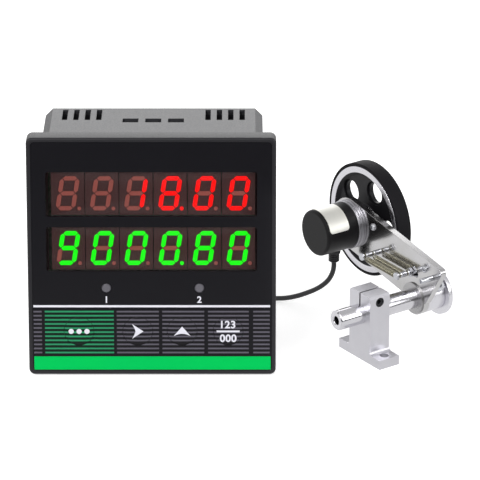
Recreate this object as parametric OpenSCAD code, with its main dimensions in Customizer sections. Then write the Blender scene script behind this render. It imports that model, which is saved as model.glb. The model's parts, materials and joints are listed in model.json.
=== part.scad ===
// Cable length counter: a panel counter, and a sprung measuring wheel that sends it pulses.
// Millimetres, +Z up. The counter faces -Y and leans back on its case, as it does on a bench.
// The origin is the middle of the support block's bottom face.
// The wheel unit is built in its own frame: x along the axles, y out to the wheel, z up.

/* [Counter] */
// Side of the square front bezel
bezel_side = 144; // [120:1:180]
// Thickness of the bezel behind its front face
bezel_depth = 12.5; // [11.5:0.5:16]
// Side of the square case behind the panel
case_side = 129; // [112:1:132]
// Depth of the case behind the bezel
case_depth = 76; // [70:1:110]
// Wall of the case
case_wall = 2.5; // [2:0.5:4]
// Height of one display digit
digit_h = 20.5; // [18:0.5:21]
// Distance from one digit to the next
digit_pitch = 19.7; // [18:0.1:20]
// Lean of the digits, in degrees
digit_slant = 9; // [0:1:12]
// Diameter of a round key
key_d = 17.4; // [14:0.2:18]
// How far a key is pressed in
key_travel = 0.35; // [0.2:0.05:0.35]

/* [Support block and shaft] */
// Width of the block's foot
block_w = 40; // [38:1:60]
// Thickness of the block along the shaft
block_t = 14.4; // [12:0.2:20]
// Width of the block's upright
column_w = 20; // [18:1:22]
// Height of the whole block
block_h = 42.5; // [40:0.5:50]
// Thickness of the foot
foot_h = 5.8; // [5:0.1:8]
// Distance between the two bolt holes
bolt_pitch = 30; // [28:1:32]
// Diameter of a bolt hole
bolt_d = 5.3; // [4.5:0.1:5.5]
// Height of the shaft above the foot's underside
shaft_z = 29; // [27:0.5:32]
// Diameter of the shaft
shaft_d = 12; // [10:1:12]
// Length of shaft in front of the block
shaft_front = 17.3; // [10:0.1:30]

/* [Arm and wheel] */
// Distance from the shaft to the wheel's axle
arm_len = 69; // [64:1:80]
// Angle of the arm above level, at rest
arm_angle = 21.5; // [18:0.5:30]
// Angle that the arm can be pushed down
arm_swing = 15; // [5:1:15]
// Thickness of the arm plate
plate_t = 4; // [3:0.5:5]
// Front face of the arm plate, from the block's middle
plate_x = 32.5; // [30:0.5:40]
// Outside diameter of the wheel's tyre
wheel_d = 70; // [64:1:70]
// Width of the wheel
wheel_w = 9.8; // [8:0.2:12]
// Front face of the wheel, from the block's middle
wheel_x = 42.8; // [41:0.2:46]
// Outside diameter of the encoder's cover
encoder_d = 28.4; // [26:0.2:30]
// Outside diameter of one spring
spring_d = 3.4; // [3:0.1:4]
// Wire of the springs
spring_wire = 0.5; // [0.4:0.1:0.5]
// Turns in one spring
spring_turns = 30; // [20:1:30]

/* [Cable] */
// Diameter of the cable
cable_d = 3; // [2.5:0.1:3]
// Step from one loop of the coil to the next
coil_pitch = 3.45; // [3.42:0.01:3.6]
// Outer radius of the coil, at the middle of the cable
coil_r = 23.2; // [22:0.1:26]

/* [Hidden] */
// Turn of the wheel unit about the vertical
unit_turn = 35;
// Where the counter stands: its middle, and the floor line under the bezel's back
counter_x = -127.3;
counter_y = -16.5;
// Lean of the counter: it rests on the bezel's lower back edge and the case's lower back edge
overhang = (bezel_side - case_side) / 2;
lean = atan2(overhang, case_depth);

// Face of the counter, measured from its middle line and its bottom edge
plate_side = bezel_side - 5;
lens_t = 1.5;
face_y = -bezel_depth;
opening_side = case_side - 4;
window_w = 122;
window_h = 26.8;
upper_row_z = 110.2;
lower_row_z = 77;
row_shift = 1;
key_x = [-42.6, -8.4, 17.4, 44.2];
key_z = 27;
lamp_x = [-26.5, 27.5];
lamp_z = 53.1;
lamp_d = 5.8;
bar_z = 3.1;
bar_h = 8.2;
bar_w = 138;
film_z = 13.4;
film_h = 26;
film_t = 0.3;

// Inside of the counter, front to back
board_t = 1.6;
display_board_y = face_y + 9.2;
board_side = 120;
digit_front_y = face_y + lens_t + 0.6;
key_gap = 0.25;
key_proud = 0.8;
switch_h = 3.5;
switch_button_h = display_board_y - switch_h - (face_y + 5.1) - key_travel - 0.05;
cover_t = 2;
// The corner posts stand this far in from the case's outside, beside the ends of the terminal blocks.
post_in = 5.8;
post_w = 6.8;
cover_y = case_depth - 3.5;
block_out = 12;
terminal_pitch = 9;
terminals = 12;
terminal_row_z = [26, 118];
terminal_h = 19;
terminal_depth = 8;
deep_board_y = 6;

// Digits
segment_t = 2.5;
segment_gap = 0.35;
digit_w = 11.4;
segment_depth = 0.4;
SEGMENTS = ["a", "b", "c", "d", "e", "f", "g"];
upper_reading = ["", "", "bc", "abcdefg", "abcdef", "abcdef"];
lower_reading = ["abcdfg", "abcdef", "abcdef", "abcdef", "abcdefg", "abcdef"];
dotted_digit = 3;

// Wheel unit, along the shaft
bush_r = 8;
bush_flange_r = 9.6;
bush_flange_t = 1;
run_gap = 0.03;
collar_gap = 0.4;
collar_x = plate_x + plate_t + collar_gap;
collar_len = 11.5;
collar_r = 10.25;
collar_screw_tilt = 49;
disc_t = 3;
disc_r = 14;
shaft_len = block_t / 2 + shaft_front + collar_x + collar_len;
shaft_front_x = -block_t / 2 - shaft_front;
thread_r = 2.5;
thread_len = 15;

// Arm plate outline, along the arm and square to it, with each corner's radius
PLATE_CORNERS = [[arm_len, 0, 16], [-12.5, 30.5, 3], [-8, 6, 3], [0, 0, 2]];
lobe_r = 10.4;

// Spring anchors: the stud stands in the collar, and the post in the plate
stud_r = 1.65;
stud_at = [2.3, 16];
stud_front_x = 20.6;
post_r = 1.6;
post_at = [39.9 * cos(2.6), 39.9 * sin(2.6)];
spring_x = [29, 23.4];
stop_at = [-9.5, 24.5];
pan_screws_at = [[49.3, 14.2], [-1.5, 24.5]];
slot_play = 0.5;

// Encoder, along its axle
encoder_back_x = 6.5;
flange_x = plate_x - 3.5;
flange_r = 14.9;
cover_wall = 1.2;
axle_r = 3;
bearing_r = 6.5;
bearing_w = 5;
gland_x = encoder_back_x + 14.5;
gland_len = 8;
gland_r = 3.4;
screw_circle = 11;

// Wheel
tyre_t = 2;
rim_t = 3.8;
web_t = 5;
web_hole_r = 6.25;
web_hole_at = 20.4;
web_holes = 5;
hub_r = 9;

// Cable: the gland's end in the shared frame, then points chosen by hand
gland_y = arm_len * cos(arm_angle);
gland_end_z = shaft_z + arm_len * sin(arm_angle) - encoder_d / 2 - gland_len;
gland_end = [
    gland_x * cos(unit_turn) - gland_y * sin(unit_turn),
    gland_x * sin(unit_turn) + gland_y * cos(unit_turn),
    gland_end_z
];
cable_r = cable_d / 2;
coil_at = [-110, 103.2];
coil_entry = [coil_at[0], coil_at[1] - coil_r, cable_r];
cable_route = concat(
    [gland_end, gland_end - [0, 0, 3]],
    [
        [-20.3, 65, 25], [-22.5, 65.7, 20], [-26, 66.8, 15.8], [-30.5, 68.6, 12],
        [-36, 71, 8.5], [-42, 73.5, 5.3], [-48.5, 76, 2.9], [-55, 78, 1.8],
        [-62, 79.4, 1.5], [-69, 80, 1.5], [-76, 80, 1.5], [-83, 80, 1.5],
        [-90, 80, 1.5], [-97, 80, 1.5]
    ],
    [coil_entry + 2 * [cable_d, 0, 0], coil_entry + [cable_d, 0, 0]]
);
layer_step = 3.45;
layer_turns = 4.125;
climb_turns = 0.5;
loop_rings = 24;
loop_sides = 6;
tail_start = [coil_at[0] + coil_r, coil_at[1], cable_r + layer_step];
tail_end = counter_point([tail_start[0] - counter_x, case_depth + block_out, terminal_row_z[0]]);
tail_dir = counter_turn([0, 1, 0]);
tail_route = concat(
    [tail_start - [0, cable_d, 0], tail_start - 2 * [0, cable_d, 0]],
    [
        [tail_start[0], 92, 6.2], [tail_start[0], 88, 8.4], [tail_start[0], 84, 11.4],
        [tail_start[0], 80, 14.7]
    ],
    [tail_end + cable_d * tail_dir, tail_end]
);
spring_hook = 2.6;
spring_rings = 8;

$fn = 48;

// ---------- places ----------

// The counter's own frame: x across from its middle, y back from the bezel's rear face,
// z up from its bottom edge.
module on_counter() {
    translate([counter_x, counter_y, 0]) rotate([-lean, 0, 0]) children();
}

function counter_turn(p) = [
    p[0],
    p[1] * cos(lean) + p[2] * sin(lean),
    p[2] * cos(lean) - p[1] * sin(lean)
];

function counter_point(p) = [counter_x, counter_y, 0] + counter_turn(p);

// The wheel unit's frame, with x along its axles.
module on_unit() {
    rotate([0, 0, unit_turn]) children();
}

// The shaft's axis.
module on_shaft() {
    on_unit() translate([0, 0, shaft_z]) children();
}

// The arm's frame: x along the axles, y along the arm, z square to it.
module on_arm() {
    on_shaft() rotate([arm_angle, 0, 0]) children();
}

// The wheel's axis, with y level and z up.
module on_axle() {
    on_arm() translate([0, arm_len, 0]) rotate([-arm_angle, 0, 0]) children();
}

// ---------- shapes ----------

// A solid turned about the x axis from points [along x, radius].
module turned(points) {
    rotate([0, 90, 0]) rotate_extrude() polygon([for (p = points) [p[1], p[0]]]);
}

// A round bar along x from one place to another.
module bar_x(from, to, r) {
    translate([from, 0, 0]) rotate([0, 90, 0]) cylinder(h = to - from, r = r);
}

// A plate facing -Y, standing on z, from its front y to its back y.
module panel(w, h, front, back, z = 0) {
    translate([-w / 2, front, z]) cube([w, back - front, h]);
}

// A panel with round corners, made of two blocks and four round bars.
module round_panel(w, h, front, back, z, r) {
    panel(w - 2 * r, h, front, back, z);
    panel(w, h - 2 * r, front, back, z + r);
    for (sx = [-1, 1], sz = [r, h - r])
        translate([sx * (w / 2 - r), back, z + sz])
            rotate([90, 0, 0]) cylinder(h = back - front, r = r, $fn = 32);
}

// A round bar along y in the counter, from front to back.
module bar_y(x, z, front, back, r) {
    translate([x, back, z]) rotate([90, 0, 0]) cylinder(h = back - front, r = r);
}

function unit(v) = v / norm(v);

// The way a path runs at each of its points.
function tangents(p) = [
    for (i = [0 : len(p) - 1])
        unit(p[min(i + 1, len(p) - 1)] - p[max(i - 1, 0)])
];

// Side directions carried along a path without twist.
function side_ways(t, i = 0, last = [1, 0, 0], out = []) =
    i == len(t) ? out :
    let (n = unit(last - (last * t[i]) * t[i]))
    side_ways(t, i + 1, n, concat(out, [n]));

// A tube with flat sides along a path, closed at both ends.
module tube(path, r, sides, side = [1, 0.2, 0.1]) {
    t = tangents(path);
    n = side_ways(t, 0, side, []);
    points = [
        for (i = [0 : len(path) - 1], k = [0 : sides - 1])
            path[i] + r * (cos(360 * k / sides) * n[i] + sin(360 * k / sides) * cross(t[i], n[i]))
    ];
    last = (len(path) - 1) * sides;
    faces = concat(
        [for (i = [0 : len(path) - 2], k = [0 : sides - 1])
            [i * sides + k, (i + 1) * sides + k, i * sides + (k + 1) % sides]],
        [for (i = [0 : len(path) - 2], k = [0 : sides - 1])
            [(i + 1) * sides + k, (i + 1) * sides + (k + 1) % sides, i * sides + (k + 1) % sides]],
        [for (k = [1 : sides - 2]) [0, k, k + 1]],
        [for (k = [1 : sides - 2]) [last, last + k + 1, last + k]]
    );
    polyhedron(points = points, faces = faces);
}

// The least gap between a tube and itself, past the stretch of path named as near.
function least_gap(path, d, near) = min([
    for (i = [0 : len(path) - 1 - near], j = [i + near : len(path) - 1]) norm(path[i] - path[j])
]) - d;

// ---------- counter: front ----------

module front_bezel() {
    color("#26252a") on_counter() difference() {
        hull() {
            for (sx = [-1, 1], z = [3.5, bezel_side - 3.5]) {
                bar_rim(sx * (bezel_side / 2 - 3.5), z, face_y + 1.6, 0, 3.5);
                bar_rim(sx * (bezel_side / 2 - 3.5), z, face_y, 0, 2.3);
            }
        }
        round_panel(plate_side, plate_side, face_y - 1, face_y + lens_t, 2.5, 2);
        panel(opening_side, opening_side, face_y, 1, (bezel_side - opening_side) / 2);
    }
}

module bar_rim(x, z, front, back, r) {
    bar_y(x, z, front, back, r, $fn = 32);
}

module face_plate() {
    color("#1b1a1f") on_counter() difference() {
        round_panel(plate_side - 0.2, plate_side - 0.2, face_y, face_y + lens_t, 2.6, 1.9);
        for (z = [upper_row_z, lower_row_z])
            round_panel(window_w, window_h, face_y - 1, face_y + lens_t + 1, z - window_h / 2, 1.5);
        for (x = key_x)
            bar_y(x, key_z, face_y - 1, face_y + lens_t + 1, key_d / 2 + key_gap);
        for (x = lamp_x)
            bar_y(x, lamp_z, face_y - 1, face_y + lens_t + 1, lamp_d / 2 + 0.05);
        panel(bar_w, bar_h, face_y - 1, face_y + 0.4, bar_z);
    }
}

module window_pane(z) {
    round_panel(window_w - 0.1, window_h - 0.1, face_y + 0.1, face_y + lens_t,
                z - window_h / 2 + 0.05, 1.45);
}

module upper_window() {
    color("#3c2a2a") on_counter() window_pane(upper_row_z);
}

module lower_window() {
    color("#3c2a2a") on_counter() window_pane(lower_row_z);
}

module keypad_film() {
    color("#232228") on_counter() difference() {
        panel(bar_w, film_h, face_y - film_t, face_y, film_z);
        for (x = key_x)
            bar_y(x, key_z, face_y - 1, face_y + 1, key_d / 2 + key_gap);
    }
}

module accent_strip() {
    color("#00cc58") on_counter()
        panel(bar_w - 0.1, bar_h - 0.1, face_y, face_y + 0.4, bar_z + 0.05);
}

// A round key: a shallow dome, a flange behind the plate and a stem for the switch.
module key(n) {
    flange_y = face_y + lens_t + 0.1;
    r = key_d / 2;
    front = face_y - key_proud;
    color("#2a292f") on_counter() translate([key_x[n], 0, key_z]) rotate([-90, 0, 0])
        rotate_extrude() polygon([
            [0, front], [r - 3.2, front], [r - 1.4, front + 0.15], [r - 0.4, front + 0.6],
            [r, front + 1.2], [r, flange_y], [r + 0.9, flange_y], [r + 0.9, flange_y + 0.8],
            [1.8, flange_y + 0.8], [1.8, face_y + 5.1], [0, face_y + 5.1]
        ]);
}

module set_key() { key(0); }
module right_key() { key(1); }
module up_key() { key(2); }
module reset_key() { key(3); }

module status_lamps() {
    color("#6b6a70") on_counter() for (x = lamp_x) {
        bar_y(x, lamp_z, face_y + 0.2, face_y + 4.4, lamp_d / 2 - 0.05);
        bar_y(x, lamp_z, face_y + 4.4, face_y + 5.4, lamp_d / 2 + 0.5);
        for (side = [-1.27, 1.27])
            bar_y(x + side, lamp_z, face_y + 5.4, display_board_y, 0.3, $fn = 16);
    }
}

// ---------- counter: display ----------

function digit_x(i) = (i - 2.5) * digit_pitch + row_shift;

module digit_modules(row_z) {
    color("#2b2224") on_counter() for (i = [0 : 5])
        translate([digit_x(i), 0, 0])
            panel(digit_pitch - 0.5, window_h - 0.6, digit_front_y + segment_depth, display_board_y,
                  row_z - window_h / 2 + 0.3);
}

module upper_digit_modules() { digit_modules(upper_row_z); }
module lower_digit_modules() { digit_modules(lower_row_z); }

// One segment's outline: a bar with mitred ends, across or upright, before the slant.
function bar_outline(half, across) = [
    for (p = [[-half, 0], [-half + segment_t / 2, segment_t / 2],
              [half - segment_t / 2, segment_t / 2], [half, 0],
              [half - segment_t / 2, -segment_t / 2], [-half + segment_t / 2, -segment_t / 2]])
        across ? p : [p[1], p[0]]
];

function segment_at(name) =
    let (x = (digit_w - segment_t) / 2, z = (digit_h - segment_t) / 2)
    name == "a" ? [0, z] : name == "d" ? [0, -z] : name == "g" ? [0, 0] :
    name == "b" ? [x, z / 2] : name == "c" ? [x, -z / 2] :
    name == "e" ? [-x, -z / 2] : [-x, z / 2];

function is_across(name) = name == "a" || name == "d" || name == "g";

function slanted(points) = [for (p = points) [p[0] + p[1] * tan(digit_slant), p[1]]];

function segment_outline(name) =
    let (
        across = is_across(name),
        half = (across ? digit_w - segment_t : (digit_h - segment_t) / 2) / 2 - segment_gap,
        at = segment_at(name)
    )
    slanted([for (p = bar_outline(half, across)) p + at]);

module segment(i, row_z, name) {
    translate([digit_x(i), digit_front_y + segment_depth, row_z]) rotate([90, 0, 0])
        linear_extrude(segment_depth) polygon(segment_outline(name));
}

module dot(i, row_z) {
    x = digit_x(i) + digit_w / 2 + 0.9;
    bar_y(x, row_z - digit_h / 2 + 1.1, digit_front_y, digit_front_y + segment_depth, 1.1, $fn = 20);
}

function has(word, letter) = len(search(letter, word)) > 0;

module lit_segments(row_z, reading) {
    for (i = [0 : 5], name = SEGMENTS)
        if (has(reading[i], name)) segment(i, row_z, name);
    dot(dotted_digit, row_z);
}

module unlit_row(row_z, reading) {
    for (i = [0 : 5], name = SEGMENTS)
        if (!has(reading[i], name)) segment(i, row_z, name);
    for (i = [0 : 5])
        if (i != dotted_digit) dot(i, row_z);
}

module upper_lit_segments() {
    color("#ff0a0a") on_counter() lit_segments(upper_row_z, upper_reading);
}

module lower_lit_segments() {
    color("#00ff20") on_counter() lit_segments(lower_row_z, lower_reading);
}

module unlit_segments() {
    color("#7a3f3c") on_counter() {
        unlit_row(upper_row_z, upper_reading);
        unlit_row(lower_row_z, lower_reading);
    }
}

// ---------- counter: inside ----------

module display_board() {
    color("#1f5a3a") on_counter()
        panel(board_side, board_side, display_board_y, display_board_y + board_t,
              (bezel_side - board_side) / 2);
}

module key_switches() {
    color("#3a3a3e") on_counter() for (x = key_x) {
        translate([x, 0, 0])
            panel(6, 6, display_board_y - switch_h, display_board_y, key_z - 3);
        bar_y(x, key_z, display_board_y - switch_h - switch_button_h, display_board_y - switch_h, 1.7);
    }
}

// A board that stands along the depth of the case.
module deep_board(x) {
    translate([x, deep_board_y, 14])
        cube([board_t, cover_y - terminal_depth - deep_board_y, bezel_side - 28]);
}

module processor_board() {
    color("#1f5a3a") on_counter() {
        deep_board(-34);
        translate([-34 + board_t, 22, 60]) cube([1.8, 14, 14]);
        translate([-34 + board_t, 44, 62]) cube([1.8, 8, 18]);
        translate([-34 + board_t, 24, 88]) cube([3.6, 11, 4.6]);
    }
}

module power_board() {
    color("#8a6a3a") on_counter() {
        deep_board(32);
        for (z = [30, 44])
            translate([32, 18, z]) rotate([0, -90, 0]) cylinder(h = 18, r = 5);
        translate([28, 28, 24]) cube([4, 5, 12]);
    }
}

module board_links() {
    color("#1c1c1e") on_counter() for (x = [-34, 32], z = [40, 90])
        translate([x - 1.3, display_board_y + board_t, z])
            cube([4.2, deep_board_y - display_board_y - board_t, 22]);
}

module transformer() {
    color("#4b4a4d") on_counter() {
        translate([4, 20, 58]) cube([28, 34, 12]);
        translate([7, 24, 54]) cube([22, 26, 4]);
        translate([7, 24, 70]) cube([22, 26, 4]);
    }
}

module relays() {
    color("#2d4f7c") on_counter() for (z = [84, 106])
        translate([16, 42, z]) cube([16, 20, 16]);
}

// ---------- counter: case ----------

module vent_slots() {
    // Long slots near the rear edge, right through the wall, on both sides of the top.
    for (side = [-1, 1], k = [0 : 3])
        translate([side * (32.2 + 6.73 * k) - 1.6, case_depth - 25, -1])
            cube([3.2, 21.6, case_wall + 2]);
    // Three short slots in the middle, where the panel clip hooks in.
    for (k = [-1 : 1])
        translate([k * 13.4 - 4.7, 46, -1]) cube([9.4, 8, case_wall + 2]);
}

module case() {
    low = (bezel_side - case_side) / 2;
    inner = case_side - 2 * case_wall;
    color("#2b2b2e") on_counter() difference() {
        union() {
            difference() {
                round_panel(case_side, case_side, 0, case_depth, low, 4);
                round_panel(inner, inner, -1, case_depth + 1, low + case_wall, 2);
            }
            // Posts in the corners take the cover's screws.
            for (sx = [-1, 1], z = [low + post_in, bezel_side - low - post_in])
                translate([sx * (case_side / 2 - post_in) - post_w / 2, case_depth - 24, z - post_w / 2])
                    cube([post_w, cover_y - case_depth + 24, post_w]);
        }
        for (top = [0, 1])
            translate([0, 0, top == 1 ? bezel_side - low - case_wall : low]) vent_slots();
        for (sx = [-1, 1], z = [low + post_in, bezel_side - low - post_in])
            bar_y(sx * (case_side / 2 - post_in), z, cover_y - 9, cover_y + 0.1, 1.25);
    }
}

module terminal_cut(z) {
    panel(terminals * terminal_pitch + 3.2, terminal_h + 1.2, cover_y - 1, cover_y + cover_t + 1,
          z - terminal_h / 2 - 0.6);
}

module rear_cover() {
    inner = case_side - 2 * case_wall - 0.4;
    color("#303034") on_counter() difference() {
        round_panel(inner, inner, cover_y, cover_y + cover_t, (bezel_side - inner) / 2, 1.8);
        for (z = terminal_row_z) terminal_cut(z);
        for (sx = [-1, 1], z = [overhang + post_in, bezel_side - overhang - post_in])
            bar_y(sx * (case_side / 2 - post_in), z, cover_y - 1, cover_y + cover_t + 1, 1.7);
        for (k = [-4 : 4])
            translate([k * 9 - 1.5, cover_y - 1, 54]) cube([3, cover_t + 2, 36]);
    }
}

module terminal_blocks() {
    color("#1d1d1f") on_counter() for (z = terminal_row_z) {
        width = terminals * terminal_pitch + 2;
        panel(width, terminal_h, cover_y - terminal_depth, case_depth + block_out - 6,
              z - terminal_h / 2);
        panel(width, 5, case_depth + block_out - 6, case_depth + block_out, z - 2.5);
        for (k = [0 : terminals])
            translate([(k - terminals / 2) * terminal_pitch - 1, case_depth + block_out - 6,
                       z - terminal_h / 2])
                cube([2, 7, terminal_h]);
    }
}

// Each terminal has a clamping screw, above the ledge on the lower row and below it on the upper.
module terminal_screws() {
    y = case_depth + block_out - 6;
    color("#c9c9c4") on_counter() for (row = [0, 1], k = [0 : terminals - 1]) {
        x = (k - terminals / 2 + 0.5) * terminal_pitch;
        z = terminal_row_z[row] + (row == 0 ? 6 : -6);
        difference() {
            bar_y(x, z, y, y + 2.6, 2.9, $fn = 20);
            translate([x - 4, y + 1.4, z - 0.5]) cube([8, 2, 1]);
        }
    }
}

module cover_screws() {
    color("#8c8c90") on_counter()
        for (sx = [-1, 1], z = [overhang + post_in, bezel_side - overhang - post_in])
            difference() {
                union() {
                    bar_y(sx * (case_side / 2 - post_in), z, cover_y - 7, cover_y + cover_t, 1.2);
                    bar_y(sx * (case_side / 2 - post_in), z, cover_y + cover_t, cover_y + cover_t + 1.4, 2.7);
                }
                translate([sx * (case_side / 2 - post_in) - 2, cover_y + cover_t + 0.6, z - 0.4])
                    cube([4, 2, 0.8]);
                translate([sx * (case_side / 2 - post_in) - 0.4, cover_y + cover_t + 0.6, z - 2])
                    cube([0.8, 2, 4]);
            }
}

// ---------- wheel unit: block and shaft ----------

// The concave fillet that blends the upright into the foot, on one side.
module foot_fillet(side, r) {
    translate([-block_t / 2, side * column_w / 2, foot_h]) difference() {
        translate([0, side > 0 ? 0 : -r, 0]) cube([block_t, r, r]);
        translate([-1, side * r, r]) rotate([0, 90, 0]) cylinder(h = block_t + 2, r = r);
    }
}

module support_block() {
    bevel = 1.2;
    color("#c6c5ca") on_unit() difference() {
        union() {
            translate([-block_t / 2, -block_w / 2, 0]) cube([block_t, block_w, foot_h]);
            translate([-block_t / 2, -column_w / 2, 0]) cube([block_t, column_w, block_h]);
            for (side = [-1, 1]) foot_fillet(side, 2.2);
        }
        translate([0, 0, shaft_z]) bar_x(-block_t, block_t, shaft_d / 2 + 0.02);
        translate([-block_t, -0.6, shaft_z]) cube([2 * block_t, 1.2, block_h]);
        for (side = [-1, 1])
            translate([0, side * bolt_pitch / 2, -1]) cylinder(h = foot_h + 2, r = bolt_d / 2);
        // Bevels along the two top edges.
        for (side = [-1, 1])
            translate([-block_t, side * column_w / 2, block_h]) rotate([45, 0, 0])
                translate([0, -bevel / sqrt(2), -bevel / sqrt(2)])
                    cube([2 * block_t, bevel * sqrt(2), bevel * sqrt(2)]);
        // The clamping screw's seat and its thread, across the slit.
        translate([0, -column_w / 2 - 1, block_h - 4.4]) rotate([-90, 0, 0])
            cylinder(h = 5, r = 2.9);
        translate([0, -column_w / 2 + 3, block_h - 4.4]) rotate([-90, 0, 0])
            cylinder(h = column_w, r = 1.65);
    }
}

// A socket-head screw along z: its head's top is at 0 and its thread points down.
module socket_screw(head_r, head_h, thread, length, key_r) {
    difference() {
        union() {
            translate([0, 0, -head_h]) cylinder(h = head_h, r = head_r, $fn = 32);
            translate([0, 0, -head_h - length]) cylinder(h = length + 0.01, r = thread, $fn = 24);
        }
        translate([0, 0, -head_h * 0.6]) cylinder(h = head_h, r = key_r, $fn = 6);
    }
}

module block_screw() {
    color("#6f6f74") on_unit() translate([0, -column_w / 2 + 1, block_h - 4.4])
        rotate([90, 0, 0]) socket_screw(2.7, 3, 1.5, 14, 1.5);
}

module shaft() {
    chamfer = 0.7;
    end_x = shaft_front_x + shaft_len;
    r = shaft_d / 2;
    color("#b9b8bd") on_shaft() difference() {
        turned([[shaft_front_x, 0], [shaft_front_x, r - chamfer], [shaft_front_x + chamfer, r],
                [end_x, r], [end_x, 0]]);
        bar_x(shaft_front_x - 1, shaft_front_x + thread_len, thread_r);
        bar_x(end_x - thread_len, end_x + 1, thread_r);
    }
}

// ---------- wheel unit: arm ----------

// The outward side of the straight edge from one round corner to the next; a corner is [x, y, r].
function edge_side(a, b) =
    let (
        d = [b[0] - a[0], b[1] - a[1]],
        along = d / norm(d),
        s = (a[2] - b[2]) / norm(d)
    )
    along * s + [along[1], -along[0]] * sqrt(1 - s * s);

// An outline with a round corner at each [x, y, r], listed anticlockwise.
function rounded_outline(corners, steps = 20) =
    let (n = len(corners))
    [for (i = [0 : n - 1])
        let (
            c = corners[i],
            before = edge_side(corners[(i + n - 1) % n], c),
            after = edge_side(c, corners[(i + 1) % n]),
            from = atan2(before[1], before[0]),
            turn = (atan2(after[1], after[0]) - from + 720) % 360
        )
        each arc([c[0], c[1]], c[2], from, from + turn, steps)];

// Stands an outline drawn on [y, z] up across the x axis, from x on.
module across_x(x, t) {
    translate([x, 0, 0]) rotate([90, 0, 90]) linear_extrude(t) children();
}

// Points along an arc about a centre, from one angle to another.
function arc(centre, r, from, to, steps) =
    [for (k = [0 : steps])
        let (at = from + (to - from) * k / steps)
        centre + r * [cos(at), sin(at)]];

// The slot that the anchor stud comes through: an arc about the shaft, with round ends.
function arc_slot() =
    let (
        at = norm(stud_at),
        r = stud_r + 0.35,
        from = atan2(stud_at[1], stud_at[0]) - arm_angle - slot_play,
        to = from + arm_swing + 2 * slot_play
    )
    concat(
        arc([0, 0], at + r, from, to, 8),
        arc(at * [cos(to), sin(to)], r, to + 20, to + 160, 7),
        arc([0, 0], at - r, to, from, 8),
        arc(at * [cos(from), sin(from)], r, from + 200, from + 340, 7)
    );

module arm_plate() {
    color("#b3b2b7") on_arm() difference() {
        across_x(plate_x, plate_t) difference() {
            union() {
                polygon(rounded_outline(PLATE_CORNERS));
                circle(r = lobe_r);
            }
            polygon(arc_slot());
        }
        bar_x(plate_x - 1, plate_x + plate_t + 1, bush_r);
        translate([0, arm_len, 0]) bar_x(plate_x - 1, plate_x + plate_t + 1, 8.05);
        for (k = [0 : 2])
            translate([0, arm_len, 0]) rotate([120 * k + 30, 0, 0]) translate([0, screw_circle, 0])
                bar_x(plate_x - 1, plate_x + plate_t + 1, 1.6);
        translate([0, post_at[0], post_at[1]]) bar_x(plate_x - 1, plate_x + plate_t + 1, post_r);
        for (at = pan_screws_at)
            translate([0, at[0], at[1]]) bar_x(plate_x - 1, plate_x + plate_t + 1, 1.3);
    }
}

module arm_bush() {
    back = plate_x + plate_t;
    r = shaft_d / 2 + run_gap;
    color("#a8895a") on_arm()
        turned([[plate_x - bush_flange_t, r], [plate_x - bush_flange_t, bush_flange_r],
                [plate_x, bush_flange_r], [plate_x, bush_r], [back, bush_r], [back, r]]);
}

module tension_collar() {
    end = collar_x + collar_len;
    color("#c2c1c6") on_shaft() difference() {
        union() {
            turned([[collar_x, shaft_d / 2 + 0.02], [collar_x, collar_r - 0.6],
                    [collar_x + 0.6, collar_r], [end - 0.6, collar_r], [end, collar_r - 0.6],
                    [end, shaft_d / 2 + 0.02]]);
            // The ear that carries the anchor stud, on the collar's front edge.
            difference() {
                across_x(collar_x, 4)
                    polygon(rounded_outline([[0, 8, 5], [stud_at[0], stud_at[1], 3.6]]));
                bar_x(collar_x - 1, collar_x + 5, collar_r - 1);
            }
        }
        translate([collar_x + collar_len / 2, 0, 0]) rotate([collar_screw_tilt, 0, 0])
            cylinder(h = 20, r = 2);
        translate([0, stud_at[0], stud_at[1]]) bar_x(collar_x - 1, collar_x + 5, stud_r);
    }
}

module collar_screw() {
    color("#d5d5d8") on_shaft() translate([collar_x + collar_len / 2, 0, 0]) rotate([collar_screw_tilt, 0, 0])
        translate([0, 0, collar_r + 5.1]) socket_screw(3.5, 4, 1.95, 5.2, 1.8);
}

module retaining_disc() {
    x = collar_x + collar_len;
    color("#c9c8cc") on_shaft()
        turned([[x, 3.1], [x, disc_r - 0.5], [x + 0.5, disc_r], [x + disc_t - 0.5, disc_r],
                [x + disc_t, disc_r - 0.5], [x + disc_t, 3.1]]);
}

module retaining_screw() {
    x = collar_x + collar_len + disc_t;
    color("#8f8f94") on_shaft() translate([x + 3, 0, 0]) rotate([0, 90, 0])
        socket_screw(5, 3, 2.45, 15, 2.5);
}

// A grooved post that holds one end of both springs.
module grooved_pin(front, back, r) {
    groove = 0.55;
    points = concat(
        [[front, 0], [front, r + 0.5], [front + 0.6, r + 0.9], [front + 1.2, r + 0.5]],
        [for (x = [spring_x[1], spring_x[0]]) each [[x - 0.9, r], [x - 0.4, r - groove],
                                                    [x + 0.4, r - groove], [x + 0.9, r]]],
        [[back, r], [back, 0]]
    );
    turned(points);
}

module spring_post() {
    color("#cfced2") on_arm() translate([0, post_at[0], post_at[1]])
        grooved_pin(stud_front_x, plate_x + plate_t, post_r);
}

module anchor_stud() {
    color("#cfced2") on_shaft() translate([0, stud_at[0], stud_at[1]])
        grooved_pin(stud_front_x, collar_x + 4, stud_r);
}

module anchor_nut() {
    color("#b5b5ba") on_shaft() translate([plate_x - 2.2, stud_at[0], stud_at[1]])
        rotate([0, 90, 0]) difference() {
            cylinder(h = 1.8, r = 3.1, $fn = 6);
            translate([0, 0, -1]) cylinder(h = 5, r = stud_r);
        }
}

module stop_stud() {
    color("#cfced2") on_arm() translate([0, stop_at[0], stop_at[1]])
        turned([[plate_x - 9, 0], [plate_x - 9, 1.2], [plate_x - 8.5, 1.65], [plate_x, 1.65],
                [plate_x, 0]]);
}

// ---------- wheel unit: springs ----------

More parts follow.
